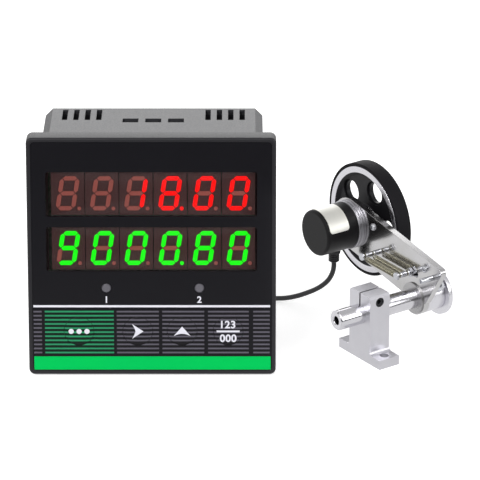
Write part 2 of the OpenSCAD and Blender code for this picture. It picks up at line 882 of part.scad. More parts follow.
// A close-wound spring with a straight end at each anchor, which lies in the anchor's groove.
function spring_path(x) =
    let (
        a = rotate_point(post_at),
        b = stud_at,
        lift = post_r - 0.2,
        start = [x, a[0], a[1] + lift],
        end = [x, b[0], b[1] + lift],
        way = unit(end - start),
        up = unit(cross([1, 0, 0], way)),
        coil_start = start + spring_hook * way,
        coil_len = norm(end - start) - 2 * spring_hook,
        r = (spring_d - spring_wire) / 2,
        grow = spring_turns / 0.75,
        n = spring_turns * spring_rings
    )
    concat(
        [start - spring_wire * way, start],
        [for (k = [0 : n])
            let (s = k / n, a = 360 * spring_turns * s, ease = min(1, grow * s, grow * (1 - s)))
            coil_start + coil_len * s * way
            + r * ease * (cos(a) * up + sin(a) * [1, 0, 0])],
        [end, end + spring_wire * way]
    );

// A place on the arm, seen in the shaft's frame.
function rotate_point(p) = [
    p[0] * cos(arm_angle) - p[1] * sin(arm_angle),
    p[0] * sin(arm_angle) + p[1] * cos(arm_angle)
];

module spring(x) {
    path = spring_path(x);
    echo(spring_gap = least_gap(path, spring_wire, 6));
    color("#d2d1c9") on_shaft() tube(path, spring_wire / 2, 6, [1, 0.1, 0]);
}

module front_spring() { spring(spring_x[1]); }
module rear_spring() { spring(spring_x[0]); }

// ---------- wheel unit: encoder ----------

// Three screws from behind hold the encoder's flange, and two pan heads show in front.
module plate_screws() {
    color("#b9b9be") on_arm() {
        for (k = [0 : 2])
            translate([0, arm_len, 0]) rotate([120 * k + 30, 0, 0])
                translate([plate_x + plate_t + 1.6, screw_circle, 0]) rotate([0, 90, 0])
                    socket_screw(2.7, 1.6, 1.45, 7, 1.1);
        for (at = pan_screws_at) translate([plate_x, at[0], at[1]]) pan_screw();
    }
}

// A small domed head with a cross recess, which faces back along the axle.
module pan_screw() {
    difference() {
        turned([[-1.3, 0], [-1.3, 1], [-0.9, 1.9], [0, 2.2], [0, 1.25], [plate_t, 1.25],
                [plate_t, 0]]);
        for (a = [0, 90])
            rotate([a, 0, 0]) translate([-1.6, -0.3, -1.1]) cube([1, 0.6, 2.2]);
    }
}

module encoder_flange() {
    back = plate_x + plate_t - 0.2;
    color("#bdbcc1") on_arm() translate([0, arm_len, 0]) difference() {
        turned([[21, axle_r + 0.6], [21, 11], [flange_x, 11], [flange_x, flange_r - 0.5],
                [flange_x + 0.4, flange_r], [flange_x + 1.4, flange_r],
                [flange_x + 1.6, flange_r - 0.5], [flange_x + 1.9, flange_r - 0.5],
                [flange_x + 2.1, flange_r], [plate_x - 0.4, flange_r], [plate_x, flange_r - 0.4],
                [plate_x, 8], [back, 8], [back, bearing_r], [back - bearing_w, bearing_r],
                [back - bearing_w, axle_r + 0.6], [22 + bearing_w, axle_r + 0.6],
                [22 + bearing_w, bearing_r], [22, bearing_r], [22, axle_r + 0.6]]);
        for (k = [0 : 2])
            rotate([120 * k + 30, 0, 0]) translate([0, screw_circle, 0])
                bar_x(plate_x - 3.2, plate_x + 1, 1.45);
    }
}

module bearing(x) {
    color("#a5a5aa") on_arm() translate([0, arm_len, 0])
        turned([[x, axle_r + run_gap], [x, bearing_r - 0.3], [x + 0.3, bearing_r],
                [x + bearing_w - 0.3, bearing_r], [x + bearing_w, bearing_r - 0.3],
                [x + bearing_w, axle_r + run_gap]]);
}

module front_bearing() { bearing(plate_x + plate_t - 0.2 - bearing_w); }
module rear_bearing() { bearing(22); }

module encoder_cover() {
    r = encoder_d / 2;
    back = encoder_back_x;
    color("#19181b") on_arm() translate([0, arm_len, 0]) difference() {
        turned([[back, 0], [back, r - 1.2], [back + 0.35, r - 0.35], [back + 1.2, r],
                [flange_x, r], [flange_x, r - cover_wall], [back + 1.6, r - cover_wall],
                [back + 1.6, 0]]);
        rotate([-arm_angle, 0, 0]) translate([gland_x, 0, -r - 1]) cylinder(h = 4, r = 2.4);
    }
}

// The bare silver label, wrapped round the upper front of the cover.
module encoder_label() {
    r = encoder_d / 2;
    color("#d4d3cf") on_axle() translate([encoder_back_x + 1.9, 0, 0]) rotate([0, 90, 0])
        rotate([0, 0, 150]) rotate_extrude(angle = 106) translate([r, 0]) square([0.2, 14]);
}

module encoder_axle() {
    color("#c8c7cb") on_arm() translate([0, arm_len, 0])
        turned([[15, 0], [15, axle_r - 0.3], [15.3, axle_r], [wheel_x + wheel_w - 0.7, axle_r],
                [wheel_x + wheel_w - 0.3, axle_r - 0.4], [wheel_x + wheel_w - 0.3, 0]]);
}

module code_disc() {
    slots = 24;
    color("#8d8f94") on_arm() translate([0, arm_len, 0]) difference() {
        turned([[16, axle_r], [16, 5], [18.2, 5], [18.2, 10.4], [18.8, 10.4], [18.8, axle_r]]);
        for (k = [0 : slots - 1])
            rotate([360 * k / slots, 0, 0]) translate([18, 8.2, -0.4]) cube([1, 1.6, 0.8]);
    }
}

module sensor_board() {
    color("#1f5a3a") on_arm() translate([0, arm_len, 0]) {
        bar_x(11, 12.2, 12.4);
        rotate([-90, 0, 0]) translate([12.2, 7.6, -3]) cube([5.2, 3.6, 6]);
    }
}

// The ribbed gland that points down at rest, with the cable's end in its mouth.
module cable_gland() {
    r = encoder_d / 2;
    rib = [for (k = [0 : 3]) each [[r + 2.4 + 1.3 * k, gland_r - 0.5], [r + 2.7 + 1.3 * k, gland_r - 0.1],
                                   [r + 3.2 + 1.3 * k, gland_r - 0.1], [r + 3.5 + 1.3 * k, gland_r - 0.5]]];
    color("#151417") on_axle() translate([gland_x, 0, 0]) rotate([180, 0, 0])
        rotate_extrude() polygon([
            for (p = concat([[r - 2.4, 0], [r - 2.4, 2.3], [r + 0.02, 2.3], [r + 0.02, gland_r + 0.5],
                             [r + 2, gland_r + 0.5], [r + 2.1, gland_r - 0.5]], rib,
                            [[r + gland_len, 1.9], [r + gland_len, 0]]))
                [p[1], p[0]]
        ]);
}

// ---------- wheel ----------

module wheel_disc() {
    mid = wheel_x + wheel_w / 2;
    inner = wheel_d / 2 - tyre_t - rim_t;
    color("#201f23") on_arm() translate([0, arm_len, 0]) difference() {
        turned([[wheel_x - 4, axle_r + 0.01], [wheel_x - 4, hub_r - 0.8], [wheel_x - 3.2, hub_r],
                [mid - web_t / 2 - 0.8, hub_r], [mid - web_t / 2, hub_r + 0.8],
                [mid - web_t / 2, inner - 2], [mid - web_t / 2 - 1.4, inner - 0.6],
                [wheel_x + 0.5, inner], [wheel_x + wheel_w - 0.5, inner],
                [mid + web_t / 2 + 1.4, inner - 0.6], [mid + web_t / 2, inner - 2],
                [mid + web_t / 2, hub_r + 0.8], [mid + web_t / 2 + 0.8, hub_r],
                [wheel_x + wheel_w - 0.6, hub_r], [wheel_x + wheel_w, hub_r - 0.6],
                [wheel_x + wheel_w, axle_r + 0.01]]);
        for (k = [0 : web_holes - 1])
            rotate([72 * k + 3 - arm_angle, 0, 0]) translate([0, -web_hole_at, 0]) {
                bar_x(wheel_x - 1, wheel_x + wheel_w + 1, web_hole_r);
                bar_x(wheel_x - 1, mid - web_t / 2 + 1.3, web_hole_r + 1.3);
                bar_x(mid + web_t / 2 - 1.3, wheel_x + wheel_w + 1, web_hole_r + 1.3);
            }
        translate([wheel_x - 2.4, 0, 0]) cylinder(h = hub_r + 1, r = 1.65);
    }
}

module wheel_rim() {
    inner = wheel_d / 2 - tyre_t - rim_t;
    outer = wheel_d / 2 - tyre_t;
    color("#c7c6cb") on_arm() translate([0, arm_len, 0])
        turned([[wheel_x, inner + 0.3], [wheel_x, outer], [wheel_x + wheel_w, outer],
                [wheel_x + wheel_w, inner + 0.3], [wheel_x + wheel_w - 0.3, inner],
                [wheel_x + 0.3, inner]]);
}

module tyre() {
    outer = wheel_d / 2;
    color("#1c1b1e") on_arm() translate([0, arm_len, 0])
        turned([[wheel_x, outer - tyre_t], [wheel_x, outer - 0.5], [wheel_x + 0.5, outer],
                [wheel_x + wheel_w - 0.5, outer], [wheel_x + wheel_w, outer - 0.5],
                [wheel_x + wheel_w, outer - tyre_t]]);
}

module wheel_screw() {
    color("#6f6f74") on_arm() translate([wheel_x - 2.4, arm_len, 0]) difference() {
        translate([0, 0, axle_r]) cylinder(h = hub_r - axle_r - 0.8, r = 1.6);
        translate([0, 0, hub_r - 2.8]) cylinder(h = 3, r = 0.9, $fn = 6);
    }
}

// ---------- cable ----------

module encoder_cable() {
    color("#141416") tube(cable_route, cable_r, 8);
}

// The coil: in along the floor, up a layer in the half turn where it turns back, and out on top.
function coil_point(turn) =
    let (
        middle = layer_turns + climb_turns / 2,
        climb = min(1, max(0, (turn - layer_turns) / climb_turns)),
        r = coil_r - coil_pitch * (middle - abs(turn - middle)),
        a = -90 - 360 * turn
    )
    [coil_at[0] + r * cos(a), coil_at[1] + r * sin(a), cable_r + layer_step * climb];

coil_turns = 2 * layer_turns + climb_turns;
coil_path = concat(
    [coil_point(0) + [cable_d, 0, 0]],
    [for (k = [0 : coil_turns * loop_rings]) coil_point(k / loop_rings)],
    [coil_point(coil_turns) - [0, cable_d, 0]]
);

module cable_coil() {
    echo(coil_gap = least_gap(coil_path, cable_d, 14));
    color("#141416") tube(coil_path, cable_r, loop_sides, [0, 0, 1]);
}

module cable_tail() {
    color("#141416") tube(tail_route, cable_r, 8);
}

front_bezel();
face_plate();
upper_window();
lower_window();
keypad_film();
accent_strip();
set_key();
right_key();
up_key();
reset_key();
status_lamps();
upper_digit_modules();
lower_digit_modules();
upper_lit_segments();
lower_lit_segments();
unlit_segments();
key_switches();
display_board();
processor_board();
power_board();
board_links();
transformer();
relays();
case();
rear_cover();
terminal_blocks();
terminal_screws();
cover_screws();
support_block();
block_screw();
shaft();
arm_plate();
arm_bush();
tension_collar();
collar_screw();
retaining_disc();
retaining_screw();
spring_post();
anchor_stud();
anchor_nut();
stop_stud();
front_spring();
rear_spring();
plate_screws();
encoder_flange();
encoder_cover();
encoder_label();
encoder_axle();
front_bearing();
rear_bearing();
code_disc();
sensor_board();
cable_gland();
wheel_disc();
wheel_rim();
tyre();
wheel_screw();
encoder_cable();
cable_coil();
cable_tail();
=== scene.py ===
# %% [markdown]
# # A cable length counter
# A panel counter shows a length on two rows of lit digits. Beside it a sprung arm holds a
# measuring wheel, and the encoder behind the wheel sends the counter its pulses. This lesson
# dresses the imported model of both. It loads the model as a fixed frame, works out each visible
# piece as a surface with numpy, and gives each one the finish of the real thing. Lengths are
# written in millimetres, as a maker would draw them, and `MM` turns them to metres.

# %% Load the fixed frame
import json
from math import atan2, cos, degrees, hypot, pi, radians, sin

import bmesh
import bpy
import numpy as np
from mathutils import Matrix, Vector

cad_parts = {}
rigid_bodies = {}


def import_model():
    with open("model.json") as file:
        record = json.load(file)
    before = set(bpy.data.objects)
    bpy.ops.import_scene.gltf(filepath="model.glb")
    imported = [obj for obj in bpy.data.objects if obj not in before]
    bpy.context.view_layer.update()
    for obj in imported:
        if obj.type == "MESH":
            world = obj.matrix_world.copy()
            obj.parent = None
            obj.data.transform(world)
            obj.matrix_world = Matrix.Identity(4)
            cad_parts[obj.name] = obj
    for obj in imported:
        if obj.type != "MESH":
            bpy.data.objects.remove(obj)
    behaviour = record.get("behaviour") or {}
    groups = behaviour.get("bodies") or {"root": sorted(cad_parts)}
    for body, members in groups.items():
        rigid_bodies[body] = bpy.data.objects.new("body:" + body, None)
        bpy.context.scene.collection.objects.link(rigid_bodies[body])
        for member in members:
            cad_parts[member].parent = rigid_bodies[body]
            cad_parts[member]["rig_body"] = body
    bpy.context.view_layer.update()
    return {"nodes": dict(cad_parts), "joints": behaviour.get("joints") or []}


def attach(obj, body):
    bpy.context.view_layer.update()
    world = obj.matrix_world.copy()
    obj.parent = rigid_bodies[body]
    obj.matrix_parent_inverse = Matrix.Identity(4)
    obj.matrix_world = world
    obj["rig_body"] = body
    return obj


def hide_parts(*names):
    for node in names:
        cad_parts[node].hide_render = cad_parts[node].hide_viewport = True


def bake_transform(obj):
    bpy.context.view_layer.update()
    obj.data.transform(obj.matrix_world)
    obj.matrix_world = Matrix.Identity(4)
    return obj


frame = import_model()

MM = 0.001
joints = {joint["name"]: joint for joint in frame["joints"]}
print("nodes:", len(frame["nodes"]), "joints:", sorted(joints))

# %% [markdown]
# ## Places to build in
# The counter leans back a little and the wheel unit is turned on the bench, so pieces drawn
# straight on the shared axes would need crooked numbers. Each group gets a place of its own
# instead: a matrix that carries local millimetres to the shared metres. The places are read
# from the frame. The keys press in square to the counter's face, so their joint axis gives the
# lean, and the arm's and the wheel's joints give the shaft and the axle.

# %% The counter, the shaft, the arm and the axle
def place(origin, rotation):
    """The matrix from local millimetres to shared metres: origin + rotation x (MM p)."""
    return Matrix.Translation(origin) @ rotation.to_4x4() @ Matrix.Scale(MM, 4)


def points_of(mesh):
    """All points of a mesh, as an array."""
    flat = np.empty(3 * len(mesh.vertices), np.float32)
    mesh.vertices.foreach_get("co", flat)
    return flat.reshape(-1, 3).astype(float)


def span(node, where):
    """The lowest and highest corners of a node, in a place's own millimetres."""
    inverse = np.array(where.inverted())
    local = points_of(frame["nodes"][node].data) @ inverse[:3, :3].T + inverse[:3, 3]
    return local.min(0), local.max(0)


press = joints["set_key_press"]["axis"]
lean = atan2(-press[2], press[1])
upright = Matrix.Rotation(-lean, 3, "X")
low, high = span("front_bezel", place((0, 0, 0), upright))
corner = Vector(((low[0] + high[0]) / 2, high[1], low[2])) * MM
COUNTER = place(upright @ corner, upright)

swing = joints["arm_swing"]
unit_turn = Matrix.Rotation(atan2(swing["axis"][1], swing["axis"][0]), 3, "Z")
SHAFT = place(Vector(swing["pos_m"]), unit_turn)
axle_at = SHAFT.inverted() @ Vector(joints["wheel_spin"]["pos_m"])
arm_angle = atan2(axle_at.z, axle_at.y)
arm_length = hypot(axle_at.y, axle_at.z)
ARM = SHAFT @ Matrix.Rotation(arm_angle, 4, "X")
AXLE = SHAFT @ Matrix.Translation(axle_at)
IN_METRES = Matrix.Identity(4)
print("lean", round(degrees(lean), 2), "arm angle", round(degrees(arm_angle), 2))

# %% [markdown]
# ## Camera
# The photograph looks at the counter's face squarely but from above, from far away: the upright
# edges of the counter stay parallel. So a long lens stands well back, and only its aim and its
# distance are matched to the picture.

# %% A long lens, from above
def in_scene(name, data):
    """A new object with its data, linked into the scene."""
    made = bpy.data.objects.new(name, data)
    bpy.context.scene.collection.objects.link(made)
    return made


VIEW_ELEVATION = radians(23.5)
VIEW_DISTANCE = 2300 * MM
VIEW_AIM = Vector((-76.2, -17.9, 82.2)) * MM
FOCAL_LENGTH = 298
SENSOR_WIDTH = 36

back = Vector((0, -cos(VIEW_ELEVATION), sin(VIEW_ELEVATION)))
camera_data = bpy.data.cameras.new("camera")
camera_data.lens = FOCAL_LENGTH
camera_data.sensor_width = SENSOR_WIDTH
camera = in_scene("camera", camera_data)
camera.location = VIEW_AIM + VIEW_DISTANCE * back
camera.rotation_euler = back.to_track_quat("Z", "Y").to_euler()
bpy.context.scene.camera = camera
bpy.context.scene.view_settings.view_transform = "Standard"
print("camera at", [round(x, 3) for x in camera.location])

# %% [markdown]
# ## Adding nodes
# Every finish below is a small graph of shader nodes. One function adds any node: it sets the
# node's own settings, then fills its sockets with either a number or another node's output.
# Colours are written as the hex values that a screen shows, and shaders want linear light, so
# one more function turns the first into the second. The last function here ends every finish
# that has a colour, a roughness and a relief.

# %% One node, one colour, and how a finish ends
def add(tree, kind, sockets=None, **settings):
    """Adds a node of a kind, with its settings, and fills its sockets with values or links."""
    node = tree.nodes.new(kind)
    for name, value in settings.items():
        setattr(node, name, value)
    for name, value in (sockets or {}).items():
        if isinstance(value, bpy.types.NodeSocket):
            tree.links.new(value, node.inputs[name])
        else:
            node.inputs[name].default_value = value
    return node


def linear(hex_colour):
    """Linear light from sRGB hex: c / 12.92 when dark, else ((c + 0.055) / 1.055) ^ 2.4."""
    srgb = np.array([int(hex_colour[k:k + 2], 16) for k in (1, 3, 5)]) / 255
    light = np.where(srgb <= 0.04045, srgb / 12.92, ((srgb + 0.055) / 1.055) ** 2.4)
    return (*light.tolist(), 1.0)


def principled(name, **constants):
    """A new material, its tree, main shader and Object coordinates. Constants go on sockets."""
    made = bpy.data.materials.new(name)
    made.use_nodes = True
    shader = made.node_tree.nodes["Principled BSDF"]
    for socket, value in constants.items():
        shader.inputs[socket.replace("_", " ")].default_value = value
    where = add(made.node_tree, "ShaderNodeTexCoord").outputs["Object"]
    return made, made.node_tree, shader, where


def surfaced(blank, drift, tones, marks, ends, roughness, relief, depth):
    """Ends a finish: one pattern drifts between two tones, and another, the marks, sets the rest.

    From one of its ends to the other, the marks carry the roughness from its first value to its
    second, and they raise the surface by up to depth millimetres."""
    made, tree, shader, _ = blank
    tone = add(tree, "ShaderNodeMix", {0: drift.outputs["Fac"], 6: linear(tones[0]),
                                       7: linear(tones[1])}, data_type="RGBA")
    dull = add(tree, "ShaderNodeMapRange", {"Value": marks.outputs["Fac"], "From Min": ends[0],
                                            "From Max": ends[1], "To Min": roughness[0],
                                            "To Max": roughness[1]})
    bump = add(tree, "ShaderNodeBump", {"Height": marks.outputs["Fac"], "Strength": relief,
                                        "Distance": depth * MM})
    tree.links.new(tone.outputs[2], shader.inputs["Base Color"])
    tree.links.new(dull.outputs["Result"], shader.inputs["Roughness"])
    tree.links.new(bump.outputs["Normal"], shader.inputs["Normal"])
    return made


print("mid grey #808080 is", round(linear("#808080")[0], 3), "in linear light")

# %% [markdown]
# ## Moulded plastics and rubber
# An injection-moulded housing copies the tool it came from: a fine spark-eroded grain, which
# breaks its highlights up, over faint flow marks that are centimetres long. Both are noise on
# Object coordinates, so they keep their real size on every piece. The grain is a quarter of a
# millimetre on the real parts, too fine to show here, so it is drawn about twice as coarse.

# %% One finish for everything moulded
FLOW_SIZE, GRAIN_DEPTH = 30, 0.05


def moulded(name, colour, flow, grain, roughness, relief, **constants):
    """Plastic whose colour drifts to its flow marks, with a grain that is so many mm across."""
    blank = principled(name, **constants)
    _, tree, _, where = blank
    drift = add(tree, "ShaderNodeTexNoise",
                {"Vector": where, "Scale": 1 / (FLOW_SIZE * MM), "Detail": 2.0})
    skin = add(tree, "ShaderNodeTexNoise",
               {"Vector": where, "Scale": 1 / (grain * MM), "Detail": 3.0})
    return surfaced(blank, drift, (colour, flow), skin, (0.3, 0.7), roughness, relief, GRAIN_DEPTH)


# Each call gives the name, two colours, the grain in mm, the roughness from and to, the relief.
# Moulded ABS with a spark-eroded grain: dark grey, and a broad soft highlight.
bezel_abs = moulded("moulded_abs_bezel", "#1b1a1e", "#201f23", 0.6, (0.42, 0.55), 0.35,
                    Specular_IOR_Level=0.35)
# The same ABS on the case, a little coarser and greyer.
case_abs = moulded("moulded_abs_case", "#29292c", "#303034", 0.7, (0.38, 0.52), 0.4)
# Screen-printed polycarbonate film: even and nearly black, with a low silky sheen.
face_film = moulded("polycarbonate_film", "#0e0d12", "#111015", 0.5, (0.34, 0.42), 0.15,
                    Specular_IOR_Level=0.2)
# Film that is printed a shade darker between the fine lines of the keypad.
groove_ink = moulded("dark_line_ink", "#100e13", "#131116", 0.5, (0.4, 0.5), 0.15,
                     Specular_IOR_Level=0.2)
green_ground = moulded("dark_green_ink", "#021a11", "#031f14", 0.5, (0.4, 0.5), 0.15,
                       Specular_IOR_Level=0.2)
# Screen ink: opaque and slightly chalky, with a faintly uneven lay-down.
white_ink = moulded("white_screen_ink", "#e2e1ea", "#cfced8", 0.8, (0.45, 0.6), 0.2)
grey_ink = moulded("grey_screen_ink", "#55525d", "#4b4853", 0.8, (0.45, 0.6), 0.2)
green_ink = moulded("green_screen_ink", "#2a8c60", "#258257", 0.8, (0.45, 0.6), 0.2,
                    Specular_IOR_Level=0.2)
bar_ink = moulded("bright_green_ink", "#00c152", "#00b858", 0.8, (0.4, 0.5), 0.15,
                  Specular_IOR_Level=0.05)
# Moulded diffuser over a lamp that is off: smoke grey, with a soft shine.
lamp_grey = moulded("smoke_diffuser", "#55535a", "#615f66", 0.9, (0.3, 0.4), 0.2)
# Reflector that each digit is potted in: a dull reddish brown.
digit_potting = moulded("digit_potting", "#5f3e3d", "#644241", 0.5, (0.5, 0.6), 0.15)
# A segment that is off: milky red epoxy.
unlit_epoxy = moulded("unlit_epoxy", "#e47d70", "#da766a", 0.6, (0.35, 0.45), 0.1)
# Pressed phenolic, a dull black, and the glossier moulded case of a relay.
phenolic = moulded("black_phenolic", "#1b1b1d", "#232325", 0.4, (0.4, 0.55), 0.3)
relay_case = moulded("blue_relay_case", "#274a78", "#2d5484", 0.6, (0.3, 0.4), 0.15)
# Solder mask over copper: a green gloss with the copper showing faintly, and a bare brown board.
solder_mask = moulded("solder_mask", "#17553a", "#1f6a48", 2.5, (0.22, 0.35), 0.3)
phenolic_board = moulded("phenolic_board", "#7d5f33", "#8f6f40", 2.0, (0.4, 0.5), 0.2)
# Satin black paint on the encoder's cover, and the moulded nylon of its gland.
encoder_paint = moulded("satin_black_paint", "#100f11", "#141315", 0.4, (0.34, 0.44), 0.2,
                        Specular_IOR_Level=0.2)
gland_nylon = moulded("black_nylon", "#141317", "#1a191d", 0.5, (0.36, 0.46), 0.25)
# Moulded rubber, worn matt on the tread.
tyre_rubber = moulded("moulded_rubber", "#111013", "#161518", 0.6, (0.58, 0.72), 0.45,
                      Specular_IOR_Level=0.12)
# Soft PVC: smooth, with the slight shine of its plasticiser.
pvc_jacket = moulded("pvc_jacket", "#121215", "#17171a", 0.6, (0.32, 0.42), 0.15)
print("moulded finishes:", len(bpy.data.materials))

# %% [markdown]
# ## Metals
# What the eye reads on bare metal is how it was cut. Bead blasting leaves an even frost, a lathe
# leaves rings about the axis that it turned on, and belt polishing leaves long hairlines. All
# three are one graph here: a pattern of marks sets how rough the surface is and raises it by a
# few microns, and a broad noise shifts the colour a little. The hairlines are stretched noise,
# and the rings are a wave texture in the piece's own place, which a Mapping node centres.

# %% One finish for bare metal, with three kinds of marks
STAIN_SIZE, CUT_DEPTH = 12, 0.03
HAIRLINE = 30


def metal(name, colour, stain, roughness, relief, marks, pitch, where_cut=IN_METRES, **constants):
    """Metal with "blasted", "turned" or "brushed" marks, a pitch in mm apart, in a place's axes."""
    blank = principled(name, **{"Metallic": 1.0, **constants})
    _, tree, _, where = blank
    origin, turn, _ = where_cut.decompose()
    local = add(tree, "ShaderNodeMapping", {"Vector": where, "Location": origin,
                                            "Rotation": turn.to_euler()}, vector_type="TEXTURE")
    if marks == "turned":
        cut = add(tree, "ShaderNodeTexWave", {"Vector": local.outputs["Vector"], "Distortion": 1.5,
                                              "Detail": 2.0, "Scale": 0.3 / (pitch * MM)},
                  wave_type="RINGS", rings_direction="X")
    else:
        stretch = (HAIRLINE, 1, HAIRLINE) if marks == "brushed" else (1, 1, 1)
        grain = add(tree, "ShaderNodeMapping",
                    {"Vector": local.outputs["Vector"], "Scale": stretch})
        coarse = HAIRLINE * pitch if marks == "brushed" else pitch
        cut = add(tree, "ShaderNodeTexNoise", {"Vector": grain.outputs["Vector"], "Detail": 3.0,
                                               "Scale": 1 / (coarse * MM)})
    cloud = add(tree, "ShaderNodeTexNoise",
                {"Vector": where, "Scale": 1 / (STAIN_SIZE * MM), "Detail": 3.0})
    return surfaced(blank, cloud, (colour, stain), cut, (0, 1), roughness, relief, CUT_DEPTH)


# Each call gives the name, two colours, the roughness from and to, the relief, the marks and
# their pitch in mm, and for marks that have a direction the place that they are cut in.
# Bead-blasted, clear-anodised aluminium: pale and frosty, with no sharp reflection.
block_aluminium = metal("blasted_aluminium", "#d6d5da", "#c9c8ce", (0.3, 0.42),
                        0.25, "blasted", 0.5)
# Aluminium turned on a lathe: bright rings about the axis.
turned_aluminium = metal("turned_aluminium", "#e6e5ea", "#d9d8dd", (0.18, 0.32),
                         0.3, "turned", 0.5, SHAFT)
rim_aluminium = metal("turned_rim_aluminium", "#dddce1", "#d0cfd4", (0.18, 0.32),
                      0.3, "turned", 0.5, AXLE)
# Ground steel under hard chrome: nearly a mirror, with faint grinding rings along it.
shaft_chrome = metal("hard_chrome", "#dedde1", "#cfced3", (0.1, 0.2), 0.1, "turned", 0.4, SHAFT)
# Aluminium turned with a finer tool and passed through a tumbler: duller and greyer.
flange_aluminium = metal("tumbled_aluminium", "#bcbbc0", "#b0afb4", (0.28, 0.4),
                         0.12, "blasted", 0.4)
# Steel plate belt-polished along its length: fine hairlines that draw its reflections out.
plate_steel = metal("polished_steel_plate", "#cbcacd", "#bbbab8", (0.1, 0.18),
                    0.12, "brushed", 0.25, ARM)
# Zinc plate on small screws: bright, slightly blue.
zinc_plate = metal("zinc_plate", "#c9cacf", "#b9babf", (0.2, 0.32), 0.12, "blasted", 0.4)
# Steel blackened in hot salts: nearly black, with a thin oily shine.
black_oxide = metal("black_oxide", "#222225", "#2b2b2e", (0.3, 0.42),
                    0.2, "blasted", 0.4, Metallic=0.6)
# Hard-drawn spring wire: smooth and bright, under a thin straw tint.
spring_wire_steel = metal("spring_wire", "#a19d8b", "#8c8874", (0.16, 0.26), 0.1, "blasted", 0.4)
# Bronze under a flash of tin, as plain bushes are sold: grey, with fine rings from the lathe.
bush_bronze = metal("tin_plated_bronze", "#b5b4b6", "#a5a4a4", (0.22, 0.34),
                    0.15, "turned", 0.3, SHAFT)
# Foil label under a matt laminate, which scatters half of the light that the foil mirrors.
label_foil = metal("silver_foil", "#e2e1db", "#d8d7d0", (0.34, 0.46), 0.15, "brushed", 0.3, AXLE,
                   Metallic=0.5)
# Black anodised aluminium web: the dye keeps a metal's highlights but takes its colour.
web_anodised = metal("black_anodised", "#1a191c", "#202023", (0.36, 0.46), 0.25, "blasted", 0.5,
                     Metallic=0.35, Specular_IOR_Level=0.25)
# Varnished core laminations, end on: dark grey, with fine parallel lines.
core_steel = metal("varnished_core", "#57565a", "#48474b", (0.4, 0.5), 0.4, "brushed", 0.5, COUNTER)
print("finishes:", len(bpy.data.materials))

# %% [markdown]
# ## Lit segments and the tinted window
# A lit segment is a small diffuser with a lamp behind it: it sends its own light out, a little
# unevenly. The window in front is smoked acrylic. It has to let the digits through, also in the
# exported model, so it is a thin dark sheet that is partly clear, not a refracting solid.

# %% Light sources and smoked acrylic
SPREAD_SIZE, HAZE_SIZE = 4, 8
GLOW, WINDOW_CLEAR = 1.6, 0.72


def glowing(name, colour, edge):
    """A diffuser that shines: its own light drifts from one hex colour to another."""
    made, tree, shader, where = principled(name, Roughness=0.4, Emission_Strength=GLOW)
    spread = add(tree, "ShaderNodeTexNoise",
                 {"Vector": where, "Scale": 1 / (SPREAD_SIZE * MM), "Detail": 1.0})
    tone = add(tree, "ShaderNodeMix",
               {0: spread.outputs["Fac"], 6: linear(colour), 7: linear(edge)}, data_type="RGBA")
    tree.links.new(tone.outputs[2], shader.inputs["Emission Color"])
    shader.inputs["Base Color"].default_value = linear(edge)
    return made


def smoked(name, colour, clear):
    """Acrylic that is clear to a share, glossy, with faint polishing haze in its roughness."""
    made, tree, shader, where = principled(name, Alpha=1 - clear, IOR=1.49,
                                           Specular_IOR_Level=0.35)
    haze = add(tree, "ShaderNodeTexNoise",
               {"Vector": where, "Scale": 1 / (HAZE_SIZE * MM), "Detail": 3.0})
    dull = add(tree, "ShaderNodeMapRange",
               {"Value": haze.outputs["Fac"], "To Min": 0.06, "To Max": 0.14})
    tree.links.new(dull.outputs["Result"], shader.inputs["Roughness"])
    shader.inputs["Base Color"].default_value = linear(colour)
    return made


red_glow = glowing("red_lit_epoxy", "#ff0000", "#fb0200")
green_glow = glowing("green_lit_epoxy", "#00ff00", "#04fb04")
smoked_acrylic = smoked("smoked_acrylic", "#1c1011", WINDOW_CLEAR)
print("window is clear to", WINDOW_CLEAR)

# %% [markdown]
# ## Studio
# The photograph is a catalogue picture: pure white all round, no cast shadow to speak of, and a
# soft light from everywhere. The floor and the world are white to the camera and in reflections,
# and all other rays meet an even, weaker light, so the white puts no extra light on the object.
# In a real studio the paper ends a little in front of the object and the room beyond is dark,
# which is why the black face looks black. So reflections fade there, and nowhere else.

# %% Which ray meets what
def by_ray(tree, camera, glossy, rest):
    """Mixes three shaders: camera and transmitted rays, glossy rays, and all the others."""
    rays = add(tree, "ShaderNodeLightPath")
    seen = add(tree, "ShaderNodeMath", {0: rays.outputs["Is Camera Ray"],
                                        1: rays.outputs["Is Transmission Ray"]},
               operation="MAXIMUM")
    others = add(tree, "ShaderNodeMixShader",
                 {0: rays.outputs["Is Glossy Ray"], 1: rest, 2: glossy})
    return add(tree, "ShaderNodeMixShader", {0: seen.outputs[0], 1: others.outputs[0],
                                             2: camera}).outputs[0]


def empty_tree(owner):
    """The node tree of a new world or material, with nothing in it."""
    owner.use_nodes = True
    owner.node_tree.nodes.clear()
    return owner.node_tree


def sheet(name, corners, finish):
    """A flat sheet from its four corners, in millimetres."""
    mesh = bpy.data.meshes.new(name)
    mesh.from_pydata([[v * MM for v in corner] for corner in corners], [], [(0, 1, 2, 3)])
    mesh.materials.append(finish)
    return in_scene(name, mesh)


print("glossy rays get a shader of their own in the world, on the floor and on a card")

# %% White world
WORLD_LIGHT = 0.62
WALL_TOP, WALL_ABOVE = 1.0, 0.62
# Along an axis of the ray's direction: where a fade starts and ends, and its two strengths.
FADES = {"room": ("Z", 0.1, 0.4, 0.1, 1.0), "behind": ("Y", -0.3, 0.1, 0.0, 1.0),
         "wall": ("Z", 0.3, 0.5, WALL_TOP, WALL_ABOVE)}

